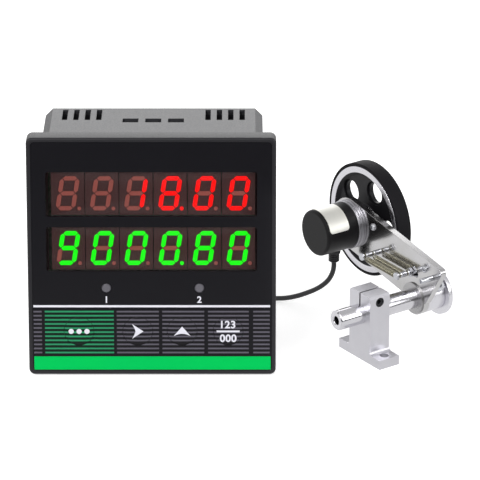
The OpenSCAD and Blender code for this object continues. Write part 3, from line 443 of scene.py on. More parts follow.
world = bpy.data.worlds.new("studio")
bpy.context.scene.world = world
sky = empty_tree(world)
looking = add(sky, "ShaderNodeSeparateXYZ",
              {0: add(sky, "ShaderNodeTexCoord").outputs["Generated"]})
room, behind, wall = (
    add(sky, "ShaderNodeMapRange", {"Value": looking.outputs[axis], "From Min": start,
                                    "From Max": end, "To Min": value, "To Max": value_after},
        interpolation_type="SMOOTHSTEP").outputs["Result"]
    for axis, start, end, value, value_after in FADES.values())
shaped = add(sky, "ShaderNodeMix", {0: behind, 2: room, 3: wall}, data_type="FLOAT").outputs[0]
white, mirrored, light = (
    add(sky, "ShaderNodeBackground", {"Color": (1, 1, 1, 1), "Strength": strength}).outputs[0]
    for strength in (1.0, shaped, WORLD_LIGHT))
add(sky, "ShaderNodeOutputWorld", {"Surface": by_ray(sky, white, mirrored, light)})
print("world light", WORLD_LIGHT)

# %% White floor
FLOOR_TONE, FLOOR_WHITE, FLOOR_MIRRORED = 0.8, 0.62, 0.9
FLOOR_HALF = 3000
EDGE_FROM, EDGE_TO = -400, -200

floor_finish = bpy.data.materials.new("white_paper")
paper = empty_tree(floor_finish)
spot = add(paper, "ShaderNodeSeparateXYZ",
           {0: add(paper, "ShaderNodeTexCoord").outputs["Object"]})
near_edge = add(paper, "ShaderNodeMapRange",
                {"Value": spot.outputs["Y"], "From Min": EDGE_FROM * MM,
                 "From Max": EDGE_TO * MM, "To Min": 0.1, "To Max": FLOOR_MIRRORED},
                interpolation_type="SMOOTHSTEP").outputs["Result"]
real_paper = add(paper, "ShaderNodeBsdfDiffuse", {"Color": (FLOOR_TONE,) * 3 + (1,)}).outputs[0]
glow = add(paper, "ShaderNodeEmission", {"Strength": FLOOR_WHITE}).outputs[0]
both = add(paper, "ShaderNodeAddShader", {0: real_paper, 1: glow}).outputs[0]
flat_paper = add(paper, "ShaderNodeEmission", {"Strength": near_edge}).outputs[0]
add(paper, "ShaderNodeOutputMaterial", {"Surface": by_ray(paper, both, flat_paper, real_paper)})
floor = sheet("floor", [(-FLOOR_HALF, -FLOOR_HALF, 0), (FLOOR_HALF, -FLOOR_HALF, 0),
                        (FLOOR_HALF, FLOOR_HALF, 0), (-FLOOR_HALF, FLOOR_HALF, 0)], floor_finish)
print("floor", 2 * FLOOR_HALF, "mm across")

# %% [markdown]
# The arm's polished plate faces the counter, and would show the counter's dark side. A
# photographer stands a white card beside such metal. This one stands between the two halves and
# only glossy rays meet it: to all others it is clear.

# %% A white card beside the polished plate
CARD_X, CARD_FROM, CARD_TO, CARD_FOOT, CARD_TOP = -57, -60, 150, 0.5, 110
card_finish = bpy.data.materials.new("white_card")
card_tree = empty_tree(card_finish)
clear = add(card_tree, "ShaderNodeBsdfTransparent").outputs[0]
card_glow = add(card_tree, "ShaderNodeEmission", {"Strength": 1.0}).outputs[0]
add(card_tree, "ShaderNodeOutputMaterial", {"Surface": by_ray(card_tree, clear, card_glow, clear)})
card = sheet("side_card", [(CARD_X, CARD_FROM, CARD_FOOT), (CARD_X, CARD_TO, CARD_FOOT),
                           (CARD_X, CARD_TO, CARD_TOP), (CARD_X, CARD_FROM, CARD_TOP)], card_finish)
print("card beside the plate at x", CARD_X)

# %% [markdown]
# The three lamps are broad and far off, so their shadows are soft. The rear one stands low, and
# gives the tops of the case and the bezel the pale sheen that they have in the photograph.

# %% Three soft lamps
LIT_POINT = Vector((-70, 0, 60))
for name, position, size, power in (("key_lamp", (-900, -1200, 1300), 900, 20),
                                    ("fill_lamp", (1200, -800, 700), 900, 9),
                                    ("rear_lamp", (-100, 1800, 620), 1400, 10)):
    lamp = in_scene(name, bpy.data.lights.new(name, "AREA"))
    lamp.data.size, lamp.data.energy = size * MM, power
    lamp.location = Vector(position) * MM
    lamp.rotation_euler = (Vector(position) - LIT_POINT).to_track_quat("Z", "Y").to_euler()
    print(name, "at", position, power, "W")

# %% [markdown]
# ## Surfaces from arrays
# A turned part, a frame, a tube and a stack of outlines are all the same thing to Blender: a grid
# of points, where each small square of neighbours is a face. So one function numbers the faces of
# any grid, and each shape is a formula that fills the grid in one go. A shape is a pair, its
# points in local millimetres and its faces.

# %% Grids, and the shapes that close on themselves
def grid(points, wrap_rows=False, wrap_columns=False):
    """A shape from a (rows, columns, 3) array: corners (r, c), (r, c+1), (r+1, c+1), (r+1, c)."""
    rows, columns = points.shape[:2]
    r = np.arange(rows if wrap_rows else rows - 1)[:, None]
    c = np.arange(columns if wrap_columns else columns - 1)[None, :]
    r_next, c_next = (r + 1) % rows, (c + 1) % columns
    corners = [r * columns + c, r * columns + c_next,
               r_next * columns + c_next, r_next * columns + c]
    return points.reshape(-1, 3), np.stack(corners, -1).reshape(-1, 4).tolist()


def joined(*shapes):
    """Several shapes as one: the face numbers of each move up by the points before it."""
    starts = np.cumsum([0] + [len(points) for points, _ in shapes])
    faces = [[k + start for k in face] for (_, part), start in zip(shapes, starts) for face in part]
    return np.concatenate([points for points, _ in shapes]), faces


def capped(sections):
    """A bar from its cross-sections, (section, corner, 3), each end drawn in to its middle."""
    ends = sections[[0, -1]].mean(1, keepdims=True).repeat(sections.shape[1], 1)
    return grid(np.concatenate([ends[:1], sections, ends[1:]]), wrap_columns=True)


def softened(profile, radius, steps=4, closed=False):
    """Rounds a profile's corners: from a to b about corner c, (1-t)^2 a + 2t(1-t) c + t^2 b.

    a and b lie on the two sides, the radius from c, or 45% along a side that is shorter."""
    p = np.asarray(profile, float)
    before, after = np.roll(p, 1, 0), np.roll(p, -1, 0)
    lengths = [np.maximum(np.linalg.norm(q - p, axis=1), 1e-9) for q in (before, after)]
    cut = np.minimum(radius, 0.45 * np.minimum(*lengths))[:, None]
    a, b = (p + (q - p) / n[:, None] * cut for q, n in zip((before, after), lengths))
    t = np.linspace(0, 1, steps)[None, :, None]
    curves = (1 - t) ** 2 * a[:, None] + 2 * t * (1 - t) * p[:, None] + t ** 2 * b[:, None]
    if closed:
        return curves.reshape(-1, p.shape[1])
    return np.concatenate([p[:1], curves[1:-1].reshape(-1, p.shape[1]), p[-1:]])


def turned(profile, radius=0.25, steps=96, ring=False):
    """A lathe's shape about x: each (x, r) of the profile becomes (x, r cos a, r sin a)."""
    x, r = softened(profile, radius, closed=ring).T[:, :, None]
    a = np.linspace(0, 2 * pi, steps, endpoint=False)[None, :]
    points = np.stack([x + 0 * a, r * np.cos(a), r * np.sin(a)], -1)
    return grid(points, wrap_rows=ring, wrap_columns=True)


def stacked(levels, middle, radius=0.3, ring=False, steps=8):
    """Round-cornered rectangles carried back: each level is (half width, half height, corner, y).

    The corner at angle a is middle + (half - corner) towards it + corner (cos a, sin a)."""
    w, h, corner, y = softened(levels, radius, closed=ring).T[:, :, None]
    a = (np.linspace(0, pi / 2, steps)[None, :] + np.arange(4)[:, None] * pi / 2).reshape(1, -1)
    side_x = np.repeat([1, -1, -1, 1], steps)[None, :]
    side_z = np.repeat([1, 1, -1, -1], steps)[None, :]
    points = np.stack([middle[0] + side_x * (w - corner) + corner * np.cos(a), y + 0 * a,
                       middle[1] + side_z * (h - corner) + corner * np.sin(a)], -1)
    return grid(points, wrap_rows=ring, wrap_columns=True)


def along(path):
    """The unit direction of a path at each of its points."""
    step = np.gradient(np.asarray(path, float), axis=0)
    return step / np.linalg.norm(step, axis=1, keepdims=True)


def tube(path, r, sides=12, across=(0.31, 0.17, 1.0)):
    """A round tube: path + r (cos a n + sin a m), n square to path and across, m to path and n."""
    path = np.asarray(path, float)
    t = along(path)
    n = np.cross(t, across)
    n /= np.linalg.norm(n, axis=1, keepdims=True)
    m = np.cross(t, n)
    a = np.linspace(0, 2 * pi, sides, endpoint=False)[None, :, None]
    return capped(path[:, None] + r * (np.cos(a) * n[:, None] + np.sin(a) * m[:, None]))


def through(points, steps):
    """A smooth curve through given points a, b, c, d, with a cubic between b and c:

    (2b + (c-a) t + (2a-5b+4c-d) t^2 + (3b-a-3c+d) t^3) / 2."""
    p = np.asarray(points, float)
    p = np.concatenate([2 * p[:1] - p[1:2], p, 2 * p[-1:] - p[-2:-1]])
    a, b, c, d = (q[:, None] for q in (p[:-3], p[1:-2], p[2:-1], p[3:]))
    t = np.linspace(0, 1, steps, endpoint=False)[None, :, None]
    curve = (2 * b + (c - a) * t + (2 * a - 5 * b + 4 * c - d) * t ** 2
             + (3 * b - a - 3 * c + d) * t ** 3) / 2
    return np.concatenate([curve.reshape(-1, 3), p[-2:-1]])


print("a plain disc has", len(turned([[0, 0], [0, 5], [1, 5], [1, 0]])[1]), "faces")

# %% [markdown]
# ## From a shape to a piece
# A finished piece lies in the shared metres, with its object at the origin, as the CAD nodes do.
# Points that fall together are merged, which closes seams and poles, and the faces are turned
# outwards. Faces are shaded smooth, with a crease wherever two meet at more than a set angle.

# %% Merge, shade and ride
MERGE = 0.002 * MM
CREASE, EDGE_CREASE, STILL_FLAT = 40, 35, 0.6


def piece(name, shape, where, finish, stands_for=(), body=None, crease=CREASE):
    """Makes a shape a piece at a place. It rides where the node that it stands for rides."""
    points, faces = shape
    matrix = np.array(where)
    mesh = bpy.data.meshes.new(name)
    mesh.from_pydata((points @ matrix[:3, :3].T + matrix[:3, 3]).tolist(), [], faces)
    merged = bmesh.new()
    merged.from_mesh(mesh)
    bmesh.ops.remove_doubles(merged, verts=merged.verts, dist=MERGE)
    bmesh.ops.recalc_face_normals(merged, faces=merged.faces)
    merged.to_mesh(mesh)
    merged.free()
    mesh.shade_smooth()
    mesh.set_sharp_from_angle(angle=radians(crease))
    mesh.materials.append(finish)
    made = in_scene(name, mesh)
    if stands_for:
        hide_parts(*stands_for)
    if body != "between":
        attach(made, body or frame["nodes"][stands_for[0]]["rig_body"])
    print(f"{name}: {len(mesh.polygons)} faces")
    return made


def dressed(node, finish, bevel):
    """A CAD node's own solid as a piece: flat faces made whole, and edges broken by a bevel."""
    mesh = frame["nodes"][node].data
    corners = np.empty(3 * len(mesh.loop_triangles), np.int32)
    mesh.loop_triangles.foreach_get("vertices", corners)
    made = piece(node + "_finished", (points_of(mesh), corners.reshape(-1, 3).tolist()),
                 IN_METRES, finish, stands_for=[node], crease=EDGE_CREASE)
    whole = bmesh.new()
    whole.from_mesh(made.data)
    bmesh.ops.dissolve_limit(whole, angle_limit=radians(STILL_FLAT), verts=whole.verts,
                             edges=whole.edges)
    whole.to_mesh(made.data)
    whole.free()
    edge = made.modifiers.new("broken_edges", "BEVEL")
    edge.width = bevel * MM
    edge.segments = 2
    edge.limit_method = "ANGLE"
    edge.angle_limit = radians(EDGE_CREASE)
    edge.harden_normals = True
    return made


def finished(finish, *nodes):
    """Gives a finish to CAD nodes that are right as they are."""
    for node in nodes:
        mesh = frame["nodes"][node].data
        mesh.materials.clear()
        mesh.materials.append(finish)
    print(finish.name, "on", ", ".join(nodes))


print("points closer than", MERGE / MM, "mm are merged")

# %% [markdown]
# ## The encoder's cable
# A thin PVC lead leaves the gland pointing down, bends under its own weight and lies on the bench
# behind the counter. Such a lead is about a metre long. The photograph shows a tenth of that, so
# the rest is put away as a round coil behind the counter, and its end rises to the lower
# terminals. The route is a list of given points, except for the coil, where the radius
# and the height follow a formula. The whole lead is one tube.

# %% The route, the coil and the tube
CABLE = 3.0
COIL_PITCH = 3.45
COIL_RADIUS = 23.2
COIL_MIDDLE = (-110, 103.2)
LAYER_TURNS = 4.125
CLIMB_TURNS = 0.5

gland_low, gland_high = span("cable_gland", AXLE)
gland_middle = (gland_low + gland_high) / 2
gland_end = np.array(AXLE @ Vector((gland_middle[0], 0, gland_low[2]))) / MM
coil_entry = np.array([COIL_MIDDLE[0], COIL_MIDDLE[1] - COIL_RADIUS, CABLE / 2])
coil_exit = np.array([COIL_MIDDLE[0] + COIL_RADIUS, COIL_MIDDLE[1], CABLE / 2 + COIL_PITCH])
counter_x = COUNTER.translation.x / MM
terminal_back = span("terminal_blocks", COUNTER)[1][1]
LOWER_ROW = 26
tail_end = np.array(COUNTER @ Vector((coil_exit[0] - counter_x, terminal_back, LOWER_ROW))) / MM
tail_way = np.array(upright @ Vector((0, 1, 0)))

along_bench = [
    gland_end, gland_end - [0, 0, CABLE],
    [-20.3, 65, 25], [-22.5, 65.7, 20], [-26, 66.8, 15.8], [-30.5, 68.6, 12],
    [-36, 71, 8.5], [-42, 73.5, 5.3], [-48.5, 76, 2.9], [-55, 78, 1.8],
    [-62, 79.4, 1.5], [-69, 80, 1.5], [-76, 80, 1.5], [-83, 80, 1.5],
    [-90, 80, 1.5], [-97, 80, 1.5], coil_entry + [2 * CABLE, 0, 0], coil_entry + [CABLE, 0, 0],
]
to_terminals = [
    coil_exit - [0, CABLE, 0], coil_exit - [0, 2 * CABLE, 0],
    [coil_exit[0], 92, 6.2], [coil_exit[0], 88, 8.4], [coil_exit[0], 84, 11.4],
    [coil_exit[0], 80, 14.7], tail_end + CABLE * tail_way, tail_end,
]


def coil(rings_a_turn):
    """A two-layer coil: radius R - pitch (m - |n - m|) at turn n, about m, its middle turn.

    The height climbs one pitch in the half turn where the radius starts to grow again."""
    m = LAYER_TURNS + CLIMB_TURNS / 2
    n = np.linspace(0, 2 * m, int(2 * m * rings_a_turn) + 1)
    r = COIL_RADIUS - COIL_PITCH * (m - np.abs(n - m))
    climb = np.clip((n - LAYER_TURNS) / CLIMB_TURNS, 0, 1)
    climb = climb ** 2 * (3 - 2 * climb)
    a = -pi / 2 - 2 * pi * n
    return np.stack([COIL_MIDDLE[0] + r * np.cos(a), COIL_MIDDLE[1] + r * np.sin(a),
                     CABLE / 2 + COIL_PITCH * climb], -1)


cable_path = np.concatenate([through(along_bench, 6), coil(40), through(to_terminals, 6)])
IN_MM = Matrix.Scale(MM, 4)
cable = piece("cable", tube(cable_path, CABLE / 2, 16), IN_MM, pvc_jacket,
              stands_for=["encoder_cable", "cable_coil", "cable_tail"], body="between")
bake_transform(cable)

# %% [markdown]
# ## The counter's bezel
# The bezel is one moulded frame. Its section is the same all the way round: up the outside, over
# a small radius, down into the recess that holds the face, and back along the opening. Carrying
# the section round a rounded square gives true corners, where a block with cut-outs would not.

# %% A section carried round a square
bezel_low, bezel_high = span("front_bezel", COUNTER)
case_low, case_high = span("case", COUNTER)
side = (bezel_high[0] - bezel_low[0]) / 2
face_y = bezel_low[1]
middle = (0, (bezel_low[2] + bezel_high[2]) / 2)
recess = side - 2.5
opening = (case_high[0] - case_low[0]) / 2 - 2
LEDGE = 1.5
bezel_section = [
    [side, side, 3.5, 0], [side, side, 3.5, face_y + 0.9], [side - 0.8, side - 0.8, 2.7, face_y],
    [recess, recess, 2, face_y], [recess, recess, 2, face_y + LEDGE],
    [opening, opening, 0.4, face_y + LEDGE], [opening, opening, 0.4, 0],
]
piece("bezel", stacked(bezel_section, middle, 0.35, ring=True), COUNTER, bezel_abs,
      stands_for=["front_bezel"])

# %% [markdown]
# ## Windows, lamps and keys
# The two windows are plain sheets with round corners, so they are a stack of outlines too. The
# lamps and the keys are round, so they are turned. A key here is a dome embossed in the film:
# flat in the middle, with a soft shoulder, and its print follows the dome.

# %% Panes, diffusers and caps
PANE_CORNER = 1.45
for node in ("upper_window", "lower_window"):
    pane_low, pane_high = span(node, COUNTER)
    w, h = (pane_high[0] - pane_low[0]) / 2, (pane_high[2] - pane_low[2]) / 2
    pane = [[0, 0, 0, pane_low[1]], [w, h, PANE_CORNER, pane_low[1]],
            [w, h, PANE_CORNER, pane_high[1]], [0, 0, 0, pane_high[1]]]
    piece(node + "_pane", stacked(pane, (0, (pane_low[2] + pane_high[2]) / 2), 0.15), COUNTER,
          smoked_acrylic, stands_for=[node])

FACING = Matrix.Rotation(pi / 2, 4, "Z")
LAMP_X = (-26.5, 27.5)
LAMP_Z = 53.1
LAMP_R = 2.85
lamp_profile = [[face_y + 0.2, 0], [face_y + 0.25, LAMP_R * 0.6], [face_y + 0.6, LAMP_R],
                [face_y + 4.4, LAMP_R], [face_y + 4.4, LAMP_R + 0.5], [face_y + 5.4, LAMP_R + 0.5],
                [face_y + 5.4, 0]]
for k, x in enumerate(LAMP_X):
    piece(f"lamp_{k + 1}", turned(lamp_profile, 0.3, 48),
          COUNTER @ Matrix.Translation((x, 0, LAMP_Z)) @ FACING, lamp_grey,
          stands_for=["status_lamps"])

KEYS = ("set_key", "right_key", "up_key", "reset_key")
key_box = {name: span(name, COUNTER) for name in KEYS}
key_at = {name: (low[0] / 2 + high[0] / 2, low[2] / 2 + high[2] / 2)
          for name, (low, high) in key_box.items()}
key_front = key_box["set_key"][0][1]
KEY_R = 8.7
KEY_GAP = 0.1
FLANGE_R = KEY_R + 0.9
flange_y = face_y + LEDGE + 0.1
key_back = key_box["set_key"][1][1]
cap_profile = [[key_front, 0], [key_front, KEY_R - 4.2], [key_front + 0.08, KEY_R - 2.4],
               [key_front + 0.24, KEY_R - 1.1], [key_front + 0.5, KEY_R], [flange_y, KEY_R],
               [flange_y, FLANGE_R], [flange_y + 0.8, FLANGE_R], [flange_y + 0.8, 1.8],
               [key_back, 1.8], [key_back, 0]]


def cap_height(r):
    """How far a cap's surface lies back at radius r, from the same profile as the cap."""
    y, radii = np.array(cap_profile[:5]).T
    return np.interp(r, radii, y)


for name in KEYS:
    x, z = key_at[name]
    piece(name + "_cap", turned(cap_profile, 0.35, 96),
          COUNTER @ Matrix.Translation((x, 0, z)) @ FACING,
          green_ground if name == "set_key" else groove_ink, stands_for=[name])

# %% [markdown]
# ## The keypad's printed lines
# The keypad is printed with eleven fine lines in six groups, one group green. They run over the
# round keys without a break, and each key's share of them has to move with the key. So every
# line is cut where it crosses a key's edge: the outside stays on the film, and the inside is bent
# over the dome. Ink has a real thickness, so a line is a very flat closed bar, four corners
# carried from one end to the other.

# %% Lines on the film and on the caps
LINES = 11
LINE_TOP, LINE_BOTTOM = 39.0, 13.8
LINE_H = 1.0
INK, INK_DEPTH, CAP_INK_DEPTH = 0.04, 0.1, 0.2
LINE_HOLE_R = KEY_R + KEY_GAP + 0.05
CAP_LINE_R, LAST_ROW_R = KEY_R - 0.1, KEY_R - 0.4
film_y = span("keypad_film", COUNTER)[0][1]
GROUPS = {
    "left_edge": (-69, -64.2, None), "set_key": (-62.4, -22.3, "set_key"),
    "right_key": (-20.6, 3.9, "right_key"), "up_key": (5.9, 30.3, "up_key"),
    "reset_key": (32.5, 56.2, "reset_key"), "right_edge": (58.8, 68.4, None),
}
line_z = np.linspace(LINE_TOP, LINE_BOTTOM, LINES)[:, None] + np.array([[LINE_H / 2, -LINE_H / 2]])


def bars(x, y, z, sunk):
    """Flat closed bars: arrays (bar, section, edge) of x, y, z, each from y back to y + sunk."""
    front = np.stack(np.broadcast_arrays(x, y, z), -1)
    rear = front[:, :, ::-1] + [0, sunk, 0]
    return joined(*(capped(bar) for bar in np.concatenate([front, rear], 2)))


def beside_key(x_from, x_to, key, z):
    """Where lines meet a key's hole: x of the hole's edge is key_x -+ sqrt(R^2 - (z - key_z)^2)."""
    if key is None:
        return [(np.full_like(z, x_from), np.full_like(z, x_to))]
    key_x, key_z = key_at[key]
    chord = np.sqrt(np.maximum(LINE_HOLE_R ** 2 - (z - key_z) ** 2, 0))
    return [(np.full_like(z, x_from), key_x - chord), (key_x + chord, np.full_like(z, x_to))]


def cap_lines(key):
    """Lines bent over a dome: y is the cap's height at r = sqrt(dx^2 + dz^2), less the ink."""
    z = line_z - key_at[key][1]
    z = z[np.abs(z).max(1) < LAST_ROW_R]
    chord = np.sqrt(CAP_LINE_R ** 2 - z ** 2)[:, None]
    x = chord * np.linspace(-1, 1, 25)[None, :, None]
    z = z[:, None] + 0 * x
    y = cap_height(np.hypot(x, z)) - INK
    return bars(x + key_at[key][0], y, z + key_at[key][1], CAP_INK_DEPTH)


for name, (x_from, x_to, key) in GROUPS.items():
    ink = green_ink if name == "set_key" else grey_ink
    runs = [bars(np.stack([a, b], 1), film_y - INK, np.stack([line_z, line_z], 1), INK_DEPTH)
            for a, b in beside_key(x_from, x_to, key, line_z)]
    piece("lines_" + name, joined(*runs), COUNTER, ink, body="root")
    if key:
        piece("cap_lines_" + key, cap_lines(key), COUNTER, ink, body=key)

# %% [markdown]
# Between the lines the film is printed darker. Each group's ground is a thin rectangle with a
# round hole for its key: a ring of points on the hole, and for each of them the point where its
# ray meets the rectangle. The rays through the four corners are among them, so corners stay sharp.

# %% The darker ground under each group
GROUND = 0.02
GROUND_MARGIN = 0.9
GROUND_HOLE_R = KEY_R + KEY_GAP + 0.02
PLAIN_MIDDLE = 27


def holed_sheet(x_from, x_to, z_from, z_to, at, r, y, thick, rays=24):
    """A sheet with a round hole: rays from the hole to its rectangle, min of the four side hits."""
    corners = [(x_to, z_to), (x_from, z_to), (x_from, z_from), (x_to, z_from)]
    turns = np.unwrap([atan2(z - at[1], x - at[0]) for x, z in corners])
    turns = np.append(turns, turns[0] + 2 * pi)
    a = np.concatenate([np.linspace(p, q, rays, endpoint=False) for p, q in zip(turns, turns[1:])])
    c, s = np.cos(a), np.sin(a)
    sides = ((c > 0, c, x_to - at[0]), (c < 0, c, x_from - at[0]),
             (s > 0, s, z_to - at[1]), (s < 0, s, z_from - at[1]))
    with np.errstate(divide="ignore"):
        reach = np.min([np.where(meets, off / way, np.inf) for meets, way, off in sides], axis=0)
    edge = np.full_like(a, r)
    rings = [(edge, y), (reach, y), (reach, y + thick), (edge, y + thick)]
    points = np.stack([np.stack([at[0] + q * c, np.full_like(a, depth), at[1] + q * s], -1)
                       for q, depth in rings])
    return grid(points, wrap_rows=True, wrap_columns=True)


for name, (x_from, x_to, key) in GROUPS.items():
    bottom, top = LINE_BOTTOM - GROUND_MARGIN, LINE_TOP + GROUND_MARGIN
    hole = (key_at[key], GROUND_HOLE_R) if key else (((x_from + x_to) / 2, PLAIN_MIDDLE), 0)
    ground = holed_sheet(x_from, x_to, bottom, top, *hole, film_y - GROUND, INK_DEPTH)
    piece("ground_" + name, ground, COUNTER, green_ground if name == "set_key" else groove_ink,
          body="root")

# %% [markdown]
# ## Marks on the keys and the face
# Two keys carry arrows, with a curved back that comes from one formula. One has three dots, and
# one has two rows of numerals about a rule. All of them are screen ink: an outline given a little
# depth, sunk in what carries it, so that no gap shows between the ink and a curved cap.

# %% Arrows, dots, numerals and rules
def cut_out(outline, y, thick):
    """An outline of (x, z) points as a flat solid from y back: two faces and the wall between."""
    outline = np.asarray(outline, float)
    n = len(outline)
    points = np.array([[x, depth, z] for depth in (y, y + thick) for x, z in outline])
    wall = [[k, (k + 1) % n, n + (k + 1) % n, n + k] for k in range(n)]
    return points, [list(range(n))[::-1], list(range(n, 2 * n))] + wall


def arrow(length, spread, notch, power, turn):
    """An arrowhead: tip at length/2, and a back that bulges in by notch (1 - |s|^power)."""
    s = np.linspace(1, -1, 17)
    back = np.stack([-length / 2 + notch * (1 - np.abs(s) ** power), s * spread / 2], -1)
    c, sn = cos(turn), sin(turn)
    return np.concatenate([back, [[length / 2, 0]]]) @ np.array([[c, sn], [-sn, c]])


def block(x, z, w, h):
    """A rectangle's outline about its middle."""
    return np.array([x, z]) + np.array([[-w, -h], [w, -h], [w, h], [-w, h]]) / 2


def round_dot(x, z, r):
    """A disc's outline."""
    a = np.linspace(0, 2 * pi, 32, endpoint=False)
    return np.stack([x + r * np.cos(a), z + r * np.sin(a)], -1)


def inked(name, shape, on):
    """White ink on the counter's face, or on a key that it names."""
    piece(name, shape, COUNTER, white_ink, body=on)


FIGURE_SHARE, WEIGHT, TEXT_DEPTH = 0.73, 0.035, 0.1


def numerals(name, text, height, x, z, y, on):
    """Plain numerals as ink: text made a mesh, then stood up on the face about (x, z)."""
    curve = bpy.data.curves.new(name, "FONT")
    curve.body = text
    curve.size = height / FIGURE_SHARE
    curve.offset = WEIGHT * height
    curve.extrude = TEXT_DEPTH
    curve.space_character = 1.05
    written = in_scene(name + "_text", curve)
    drawn = written.evaluated_get(bpy.context.evaluated_depsgraph_get())
    mesh = bpy.data.meshes.new_from_object(drawn)
    bpy.data.objects.remove(written)
    across, up, out = points_of(mesh).T
    middle_x, middle_z = (across.min() + across.max()) / 2, (up.min() + up.max()) / 2
    points = np.stack([across + x - middle_x, y + TEXT_DEPTH - out, up + z - middle_z], -1)
    inked(name, (points, [list(face.vertices) for face in mesh.polygons]), on)


INK_SUNK, INK_PROUD = 0.3, 0.05
DOT_R, DOT_PITCH = 1.55, 4.6
ROW_H, ROW_Z, LAMP_NUMERAL_H = 4.6, 4.2, 4.0
key_mark_y = key_front - INK_PROUD
x, z = key_at["set_key"]
dots = [cut_out(round_dot(x + DOT_PITCH * k, z, DOT_R), key_mark_y, INK_SUNK) for k in (-1, 0, 1)]
inked("set_mark", joined(*dots), "set_key")
for key, shape in (("right_key", arrow(6.6, 9.0, 2.0, 1.3, 0)),
                   ("up_key", arrow(6.0, 10.0, 1.5, 2, pi / 2))):
    inked(key.replace("key", "mark"), cut_out(shape + key_at[key], key_mark_y, INK_SUNK), key)
x, z = key_at["reset_key"]
inked("reset_rule", cut_out(block(x, z, 13.4, 1.1), key_mark_y, INK_SUNK), "reset_key")
numerals("reset_upper_numerals", "123", ROW_H, x, z + ROW_Z, key_mark_y, "reset_key")
numerals("reset_lower_numerals", "000", ROW_H, x, z - ROW_Z, key_mark_y, "reset_key")

RULE_Z, NUMERAL_Z = 42.2, 46.3
inked("white_rule", cut_out(block(-0.2, RULE_Z, 137.6, 1.3), face_y - INK, INK_DEPTH), "root")
for k, x in enumerate(LAMP_X):
    numerals(f"lamp_numeral_{k + 1}", str(k + 1), LAMP_NUMERAL_H, x, NUMERAL_Z, face_y - INK,
             "root")

# %% [markdown]
# ## The rest of the counter
# The face, the film, the bar and the digits are flat sheets with cut edges, as the real ones are,
# so the CAD solids are right as they stand and only need their finish. The case, the cover and
# the terminals are moulded, and a moulding has no knife edge: they get their edges broken. The
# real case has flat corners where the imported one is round, so four planes slice them off.

# %% Finishes on flat parts, broken edges on mouldings
CORNER_CUT = 4.4


def with_cut_corners(made, cut):
    """Slices the case's four long corners off at 45 degrees, cut mm in from its sides' corners."""
    sliced = bmesh.new()
    sliced.from_mesh(made.data)
    middle_z = (case_low[2] + case_high[2]) / 2
    half_side = (case_high[0] - case_low[0]) / 2
    for side_x, side_z in ((1, 1), (1, -1), (-1, -1), (-1, 1)):
        at = COUNTER @ Vector((side_x * half_side, 0, middle_z + side_z * (half_side - cut)))
        out = (upright @ Vector((side_x, 0, side_z))).normalized()
        kept = sliced.verts[:] + sliced.edges[:] + sliced.faces[:]
        edge = bmesh.ops.bisect_plane(sliced, geom=kept, plane_co=at, plane_no=out,
                                      clear_outer=True)
        rim = [e for e in edge["geom_cut"] if isinstance(e, bmesh.types.BMEdge)]
        bmesh.ops.contextual_create(sliced, geom=rim)
    bmesh.ops.recalc_face_normals(sliced, faces=sliced.faces)
    open_edges = sum(not e.is_manifold for e in sliced.edges)
    sliced.to_mesh(made.data)
    sliced.free()
    print(made.name, "has its corners cut, and", open_edges, "open edges")


finished(face_film, "face_plate", "keypad_film")
finished(bar_ink, "accent_strip")
finished(digit_potting, "upper_digit_modules", "lower_digit_modules")
finished(red_glow, "upper_lit_segments")
finished(green_glow, "lower_lit_segments")
finished(unlit_epoxy, "unlit_segments")
finished(phenolic, "key_switches", "board_links")
finished(solder_mask, "display_board", "processor_board", "sensor_board")
finished(phenolic_board, "power_board")
finished(core_steel, "transformer")
finished(relay_case, "relays")
with_cut_corners(dressed("case", case_abs, 0.3), CORNER_CUT)
dressed("rear_cover", case_abs, 0.25)
dressed("terminal_blocks", phenolic, 0.2)
dressed("terminal_screws", zinc_plate, 0.15)
dressed("cover_screws", zinc_plate, 0.15)

# %% [markdown]
# ## The support block and the shaft
# The block is milled and then blasted: flat faces, a concave fillet at its foot, and edges taken
# off with a file. Its CAD solid has that shape already, so a copy of it gets its edges broken.
# The shaft is turned, so it is drawn as a profile, with its threaded hole bored into the end.

# %% Block, screw and shaft
dressed("support_block", block_aluminium, 0.35)
dressed("block_screw", black_oxide, 0.15)
HOLE_R, HOLE_DEPTH, SCREW_HOLE = 2.5, 15, 3.1
low, high = span("shaft", SHAFT)
front, rear, SHAFT_R = low[0], high[0], high[2]
shaft_profile = [
    [front + HOLE_DEPTH, 0], [front + HOLE_DEPTH - 1.4, HOLE_R], [front + 0.5, HOLE_R],
    [front, HOLE_R + 0.5], [front, SHAFT_R - 0.7], [front + 0.7, SHAFT_R], [rear, SHAFT_R],
    [rear, HOLE_R], [rear - HOLE_DEPTH, HOLE_R], [rear - HOLE_DEPTH, 0],
]
piece("ground_shaft", turned(shaft_profile, 0.15, 128), SHAFT, shaft_chrome, stands_for=["shaft"])

# %% [markdown]
# ## The collar, its end disc and the studs
# The collar clamps on the shaft and carries the springs' fixed end, and the disc closes the
# shaft's end. The studs are turned pins, with a groove where each spring's hook sits.

# %% Turned pieces on the shaft
dressed("tension_collar", turned_aluminium, 0.25)
dressed("collar_screw", zinc_plate, 0.2)
dressed("retaining_screw", zinc_plate, 0.2)
dressed("anchor_nut", zinc_plate, 0.2)
dressed("plate_screws", zinc_plate, 0.12)


def band(node, where, inner, outer=None):
    """The profile of a round node: inner to outer radius, over its own length along x."""
    low, high = span(node, where)
    outer = outer or high[2]
    return [[low[0], inner], [low[0], outer], [high[0], outer], [high[0], inner]]


piece("end_disc", turned(band("retaining_disc", SHAFT, SCREW_HOLE), 0.5, 128, ring=True), SHAFT,
      turned_aluminium, stands_for=["retaining_disc"])

SPRING_X = (29, 23.4)
GROOVE = 0.55
HEAD = 0.9


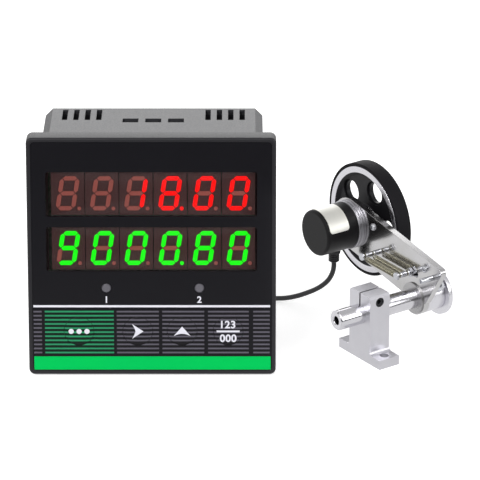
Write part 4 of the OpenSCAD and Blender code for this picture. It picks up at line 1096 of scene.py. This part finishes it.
def grooved_pin(front, rear, r):
    """A pin with a rounded head and a groove for each spring, from its front x to its rear x."""
    head = [[front, 0], [front, r + HEAD - 0.2], [front + 1.2, r + HEAD - 0.2], [front + 1.4, r]]
    grooves = [[x + step, r - depth] for x in sorted(SPRING_X)
               for step, depth in ((-0.9, 0), (-0.4, GROOVE), (0.4, GROOVE), (0.9, 0))]
    return turned(head + grooves + [[rear, r], [rear, 0]], 0.2, 48)


def pin(node, where):
    """A pin's front and rear x, its axis as (y, z) and its radius, in a place's millimetres."""
    low, high = span(node, where)
    return low[0], high[0], ((low + high) / 2)[1:], (high[2] - low[2]) / 2


POST_R, STUD_R = 1.6, 1.65
front, rear, post_at, _ = pin("spring_post", ARM)
piece("post", grooved_pin(front, rear, POST_R), ARM @ Matrix.Translation((0, *post_at)),
      zinc_plate, stands_for=["spring_post"])
front, rear, stud_at, _ = pin("anchor_stud", SHAFT)
piece("stud", grooved_pin(front, rear, STUD_R), SHAFT @ Matrix.Translation((0, *stud_at)),
      zinc_plate, stands_for=["anchor_stud"])
_, _, stop_at, stop_r = pin("stop_stud", ARM)
piece("short_stud", turned(band("stop_stud", ARM, 0, stop_r), 0.6, 48),
      ARM @ Matrix.Translation((0, *stop_at)), zinc_plate, stands_for=["stop_stud"])

# %% [markdown]
# ## The springs
# An extension spring is wound close and ends in two hooks. Each hook is an arc about its pin, so
# the whole wire is one path: round the first pin, over to the body, a helix, and round the other.
# The two parts of it that are formulas are joined through a few points, and one tube follows all.

# %% A helix with a hook at each end
SPRING_D, WIRE, TURNS = 3.4, 0.5, 30
HOOK, RISE, HOOK_CLEAR, LIFT_SHORT = 2.6, 0.35, 0.05, 0.2
HOOK_LEAD, HOOK_SWEEP, HOOK_TAIL, HOOK_LEAN = 1.35 * pi, 1.3 * pi, 0.05 * pi, 0.1
RINGS_A_TURN = 16


def hook(centre, r, start, sweep, x, lean):
    """An arc about a pin from one angle through another, that shifts along x by lean."""
    a = start + sweep * np.linspace(0, 1, 20)
    return np.stack([x + lean * np.linspace(0, 1, 20), centre[0] + r * np.cos(a),
                     centre[1] + r * np.sin(a)], -1)


def spring(x):
    """The wire's path in the shaft's frame: hook, helix p + r (cos a up + sin a x), hook."""
    start = np.array([post_at[0] * cos(arm_angle) - post_at[1] * sin(arm_angle),
                      post_at[0] * sin(arm_angle) + post_at[1] * cos(arm_angle)])
    end = np.asarray(stud_at)
    way = (end - start) / np.linalg.norm(end - start)
    up = np.array([-way[1], way[0]])
    lift = POST_R - LIFT_SHORT
    reach = POST_R - GROOVE + WIRE / 2 + HOOK_CLEAR
    first = start + lift * up + HOOK * way
    length = np.linalg.norm(end - start) - 2 * HOOK
    n = TURNS * RINGS_A_TURN
    s = np.linspace(0, 1, n + 1)
    a = 2 * pi * TURNS * s
    r = (SPRING_D - WIRE) / 2
    line = first + length * s[:, None] * way
    body = np.stack([x + r * np.sin(a), *(line + r * np.cos(a)[:, None] * up).T], -1)
    heading = atan2(up[1], up[0])
    opening_hook = hook(start, reach, heading - HOOK_LEAD, HOOK_SWEEP, x - HOOK_LEAN, HOOK_LEAN)
    closing_hook = hook(end, reach, heading + HOOK_TAIL, -HOOK_SWEEP, x, HOOK_LEAN)
    rise_in = body[0] * 0.45 + opening_hook[-1] * 0.55 + np.array([0, *(RISE * up)])
    rise_out = body[-1] * 0.45 + closing_hook[0] * 0.55 + np.array([0, *(RISE * up)])
    return np.concatenate([opening_hook, [rise_in], body, [rise_out], closing_hook])


for name, x in zip(("rear_spring", "front_spring"), SPRING_X):
    wire = piece(name + "_wire", tube(spring(x), WIRE / 2, 8, (0.13, 0.3, 1.0)), SHAFT,
                 spring_wire_steel, stands_for=[name], body="between")
    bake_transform(wire)

# %% [markdown]
# ## The arm
# The plate is cut from bar and polished along its length. The encoder hangs on its end: a turned
# flange, a black cover with a bare foil label, and a ribbed nylon gland that points down.

# %% Plate, bush, flange, cover, label and gland
dressed("arm_plate", plate_steel, 0.4)
finished(bush_bronze, "arm_bush")
ON_AXLE = ARM @ Matrix.Translation((0, arm_length, 0))
AXLE_R = 3.0
low, high = span("encoder_cover", ON_AXLE)
cover_end, step_x, COVER_R = low[0], high[0], high[2]
cover_profile = [
    [cover_end, 0], [cover_end, COVER_R - 2.6], [cover_end, COVER_R - 1.4],
    [cover_end + 0.5, COVER_R - 0.4], [cover_end + 1.4, COVER_R], [step_x, COVER_R],
    [step_x, COVER_R - 1.2], [cover_end + 1.6, COVER_R - 1.2], [cover_end + 1.6, 0],
]
piece("cover", turned(cover_profile, 0.4, 128), ON_AXLE, encoder_paint,
      stands_for=["encoder_cover"])
low, high = span("encoder_flange", ON_AXLE)
flange_start, flange_end, out_r = low[0], high[0], high[2]
plate_front = span("arm_plate", ARM)[0][0]
INNER_R, PILOT_R, SEAT_R, SEAT_DEPTH, BORE_R = 11, 8, 6.5, 5, AXLE_R + 0.6
groove_r = out_r - 0.6
flange_profile = [
    [flange_start, BORE_R], [flange_start, INNER_R], [step_x, INNER_R], [step_x, out_r],
    [step_x + 1.5, out_r], [step_x + 1.6, groove_r], [step_x + 2.0, groove_r],
    [step_x + 2.1, out_r], [plate_front, out_r], [plate_front, PILOT_R], [flange_end, PILOT_R],
    [flange_end, SEAT_R], [flange_end - SEAT_DEPTH, SEAT_R], [flange_end - SEAT_DEPTH, BORE_R],
]
piece("flange", turned(flange_profile, 0.18, 128, ring=True), ON_AXLE, flange_aluminium,
      stands_for=["encoder_flange"])
finished(zinc_plate, "front_bearing", "rear_bearing")

LABEL_FROM, LABEL_TO = radians(60), radians(166)
label_low, label_high = span("encoder_label", AXLE)
LABEL_CORNER = 2.0
LABEL_R = (COVER_R + 0.2, COVER_R + 0.02)


def wrapped(x_from, x_to, r_out, r_in, a_from, a_to, corner, steps=48):
    """A strip bent round x, at r from angle to angle, with round corners.

    At an arc s from an end its sides draw in by c - sqrt(c^2 - (c-s)^2), c being the corner."""
    t = np.linspace(0, 1, 9)[:-1]
    first = (1 - np.cos(t * pi / 2)) * corner / r_out
    straight = np.linspace(a_from + corner / r_out, a_to - corner / r_out, steps)
    a = np.concatenate([a_from + first, straight, (a_to - first)[::-1]])
    s = np.minimum(np.minimum(a - a_from, a_to - a) * r_out, corner)
    drawn = (corner - np.sqrt(np.maximum(corner ** 2 - (corner - s) ** 2, 0)))[:, None]
    x = np.array([[x_from, x_to, x_to, x_from]]) + drawn * np.array([[1, -1, -1, 1]])
    r = np.array([[r_out, r_out, r_in, r_in]])
    return capped(np.stack([x, r * np.cos(a)[:, None], r * np.sin(a)[:, None]], -1))


label = wrapped(label_low[0], label_high[0], *LABEL_R, LABEL_FROM, LABEL_TO, LABEL_CORNER)
piece("foil_label", label, AXLE, label_foil, stands_for=["encoder_label"])

RIBS, RIB_PITCH = 4, 1.3
GLAND_R = 3.4
DOWN = Matrix.Rotation(pi / 2, 4, "Y")
rib_section = [[RIB_PITCH * k + step, GLAND_R - 0.1 - depth] for k in range(RIBS)
               for step, depth in ((2.4, 0.5), (2.7, 0), (3.2, 0), (3.5, 0.5))]
gland_profile = [[-2.4, 0], [-2.4, 2.3], [0.02, 2.3], [0.02, GLAND_R + 0.5], [2, GLAND_R + 0.5],
                 [2.1, GLAND_R - 0.6]] + rib_section + [[8, 1.9], [8, 0]]
gland_profile = [[COVER_R + x, r] for x, r in gland_profile]
piece("gland", turned(gland_profile, 0.15, 64),
      AXLE @ Matrix.Translation((gland_middle[0], 0, 0)) @ DOWN, gland_nylon,
      stands_for=["cable_gland"])

# %% [markdown]
# ## The wheel
# A black web with five stepped holes, a bright rim pressed round it and a rubber tyre on that.
# The rim and the tyre are rings, turned from a closed profile. The web keeps its CAD solid,
# because its holes are real ones, with its edges broken.

# %% Tyre, rim, web, axle
RIM_T = 3.8
rim_out = span("wheel_rim", ON_AXLE)[1][2]
piece("rubber_tyre", turned(band("tyre", ON_AXLE, rim_out), 0.6, 192, ring=True), ON_AXLE,
      tyre_rubber, stands_for=["tyre"])
piece("rim", turned(band("wheel_rim", ON_AXLE, rim_out - RIM_T), 0.3, 192, ring=True), ON_AXLE,
      rim_aluminium, stands_for=["wheel_rim"])
dressed("wheel_disc", web_anodised, 0.25)
dressed("wheel_screw", zinc_plate, 0.15)
piece("axle", turned(band("encoder_axle", ON_AXLE, 0, AXLE_R), 0.4, 64), ON_AXLE, shaft_chrome,
      stands_for=["encoder_axle"])
finished(zinc_plate, "code_disc")
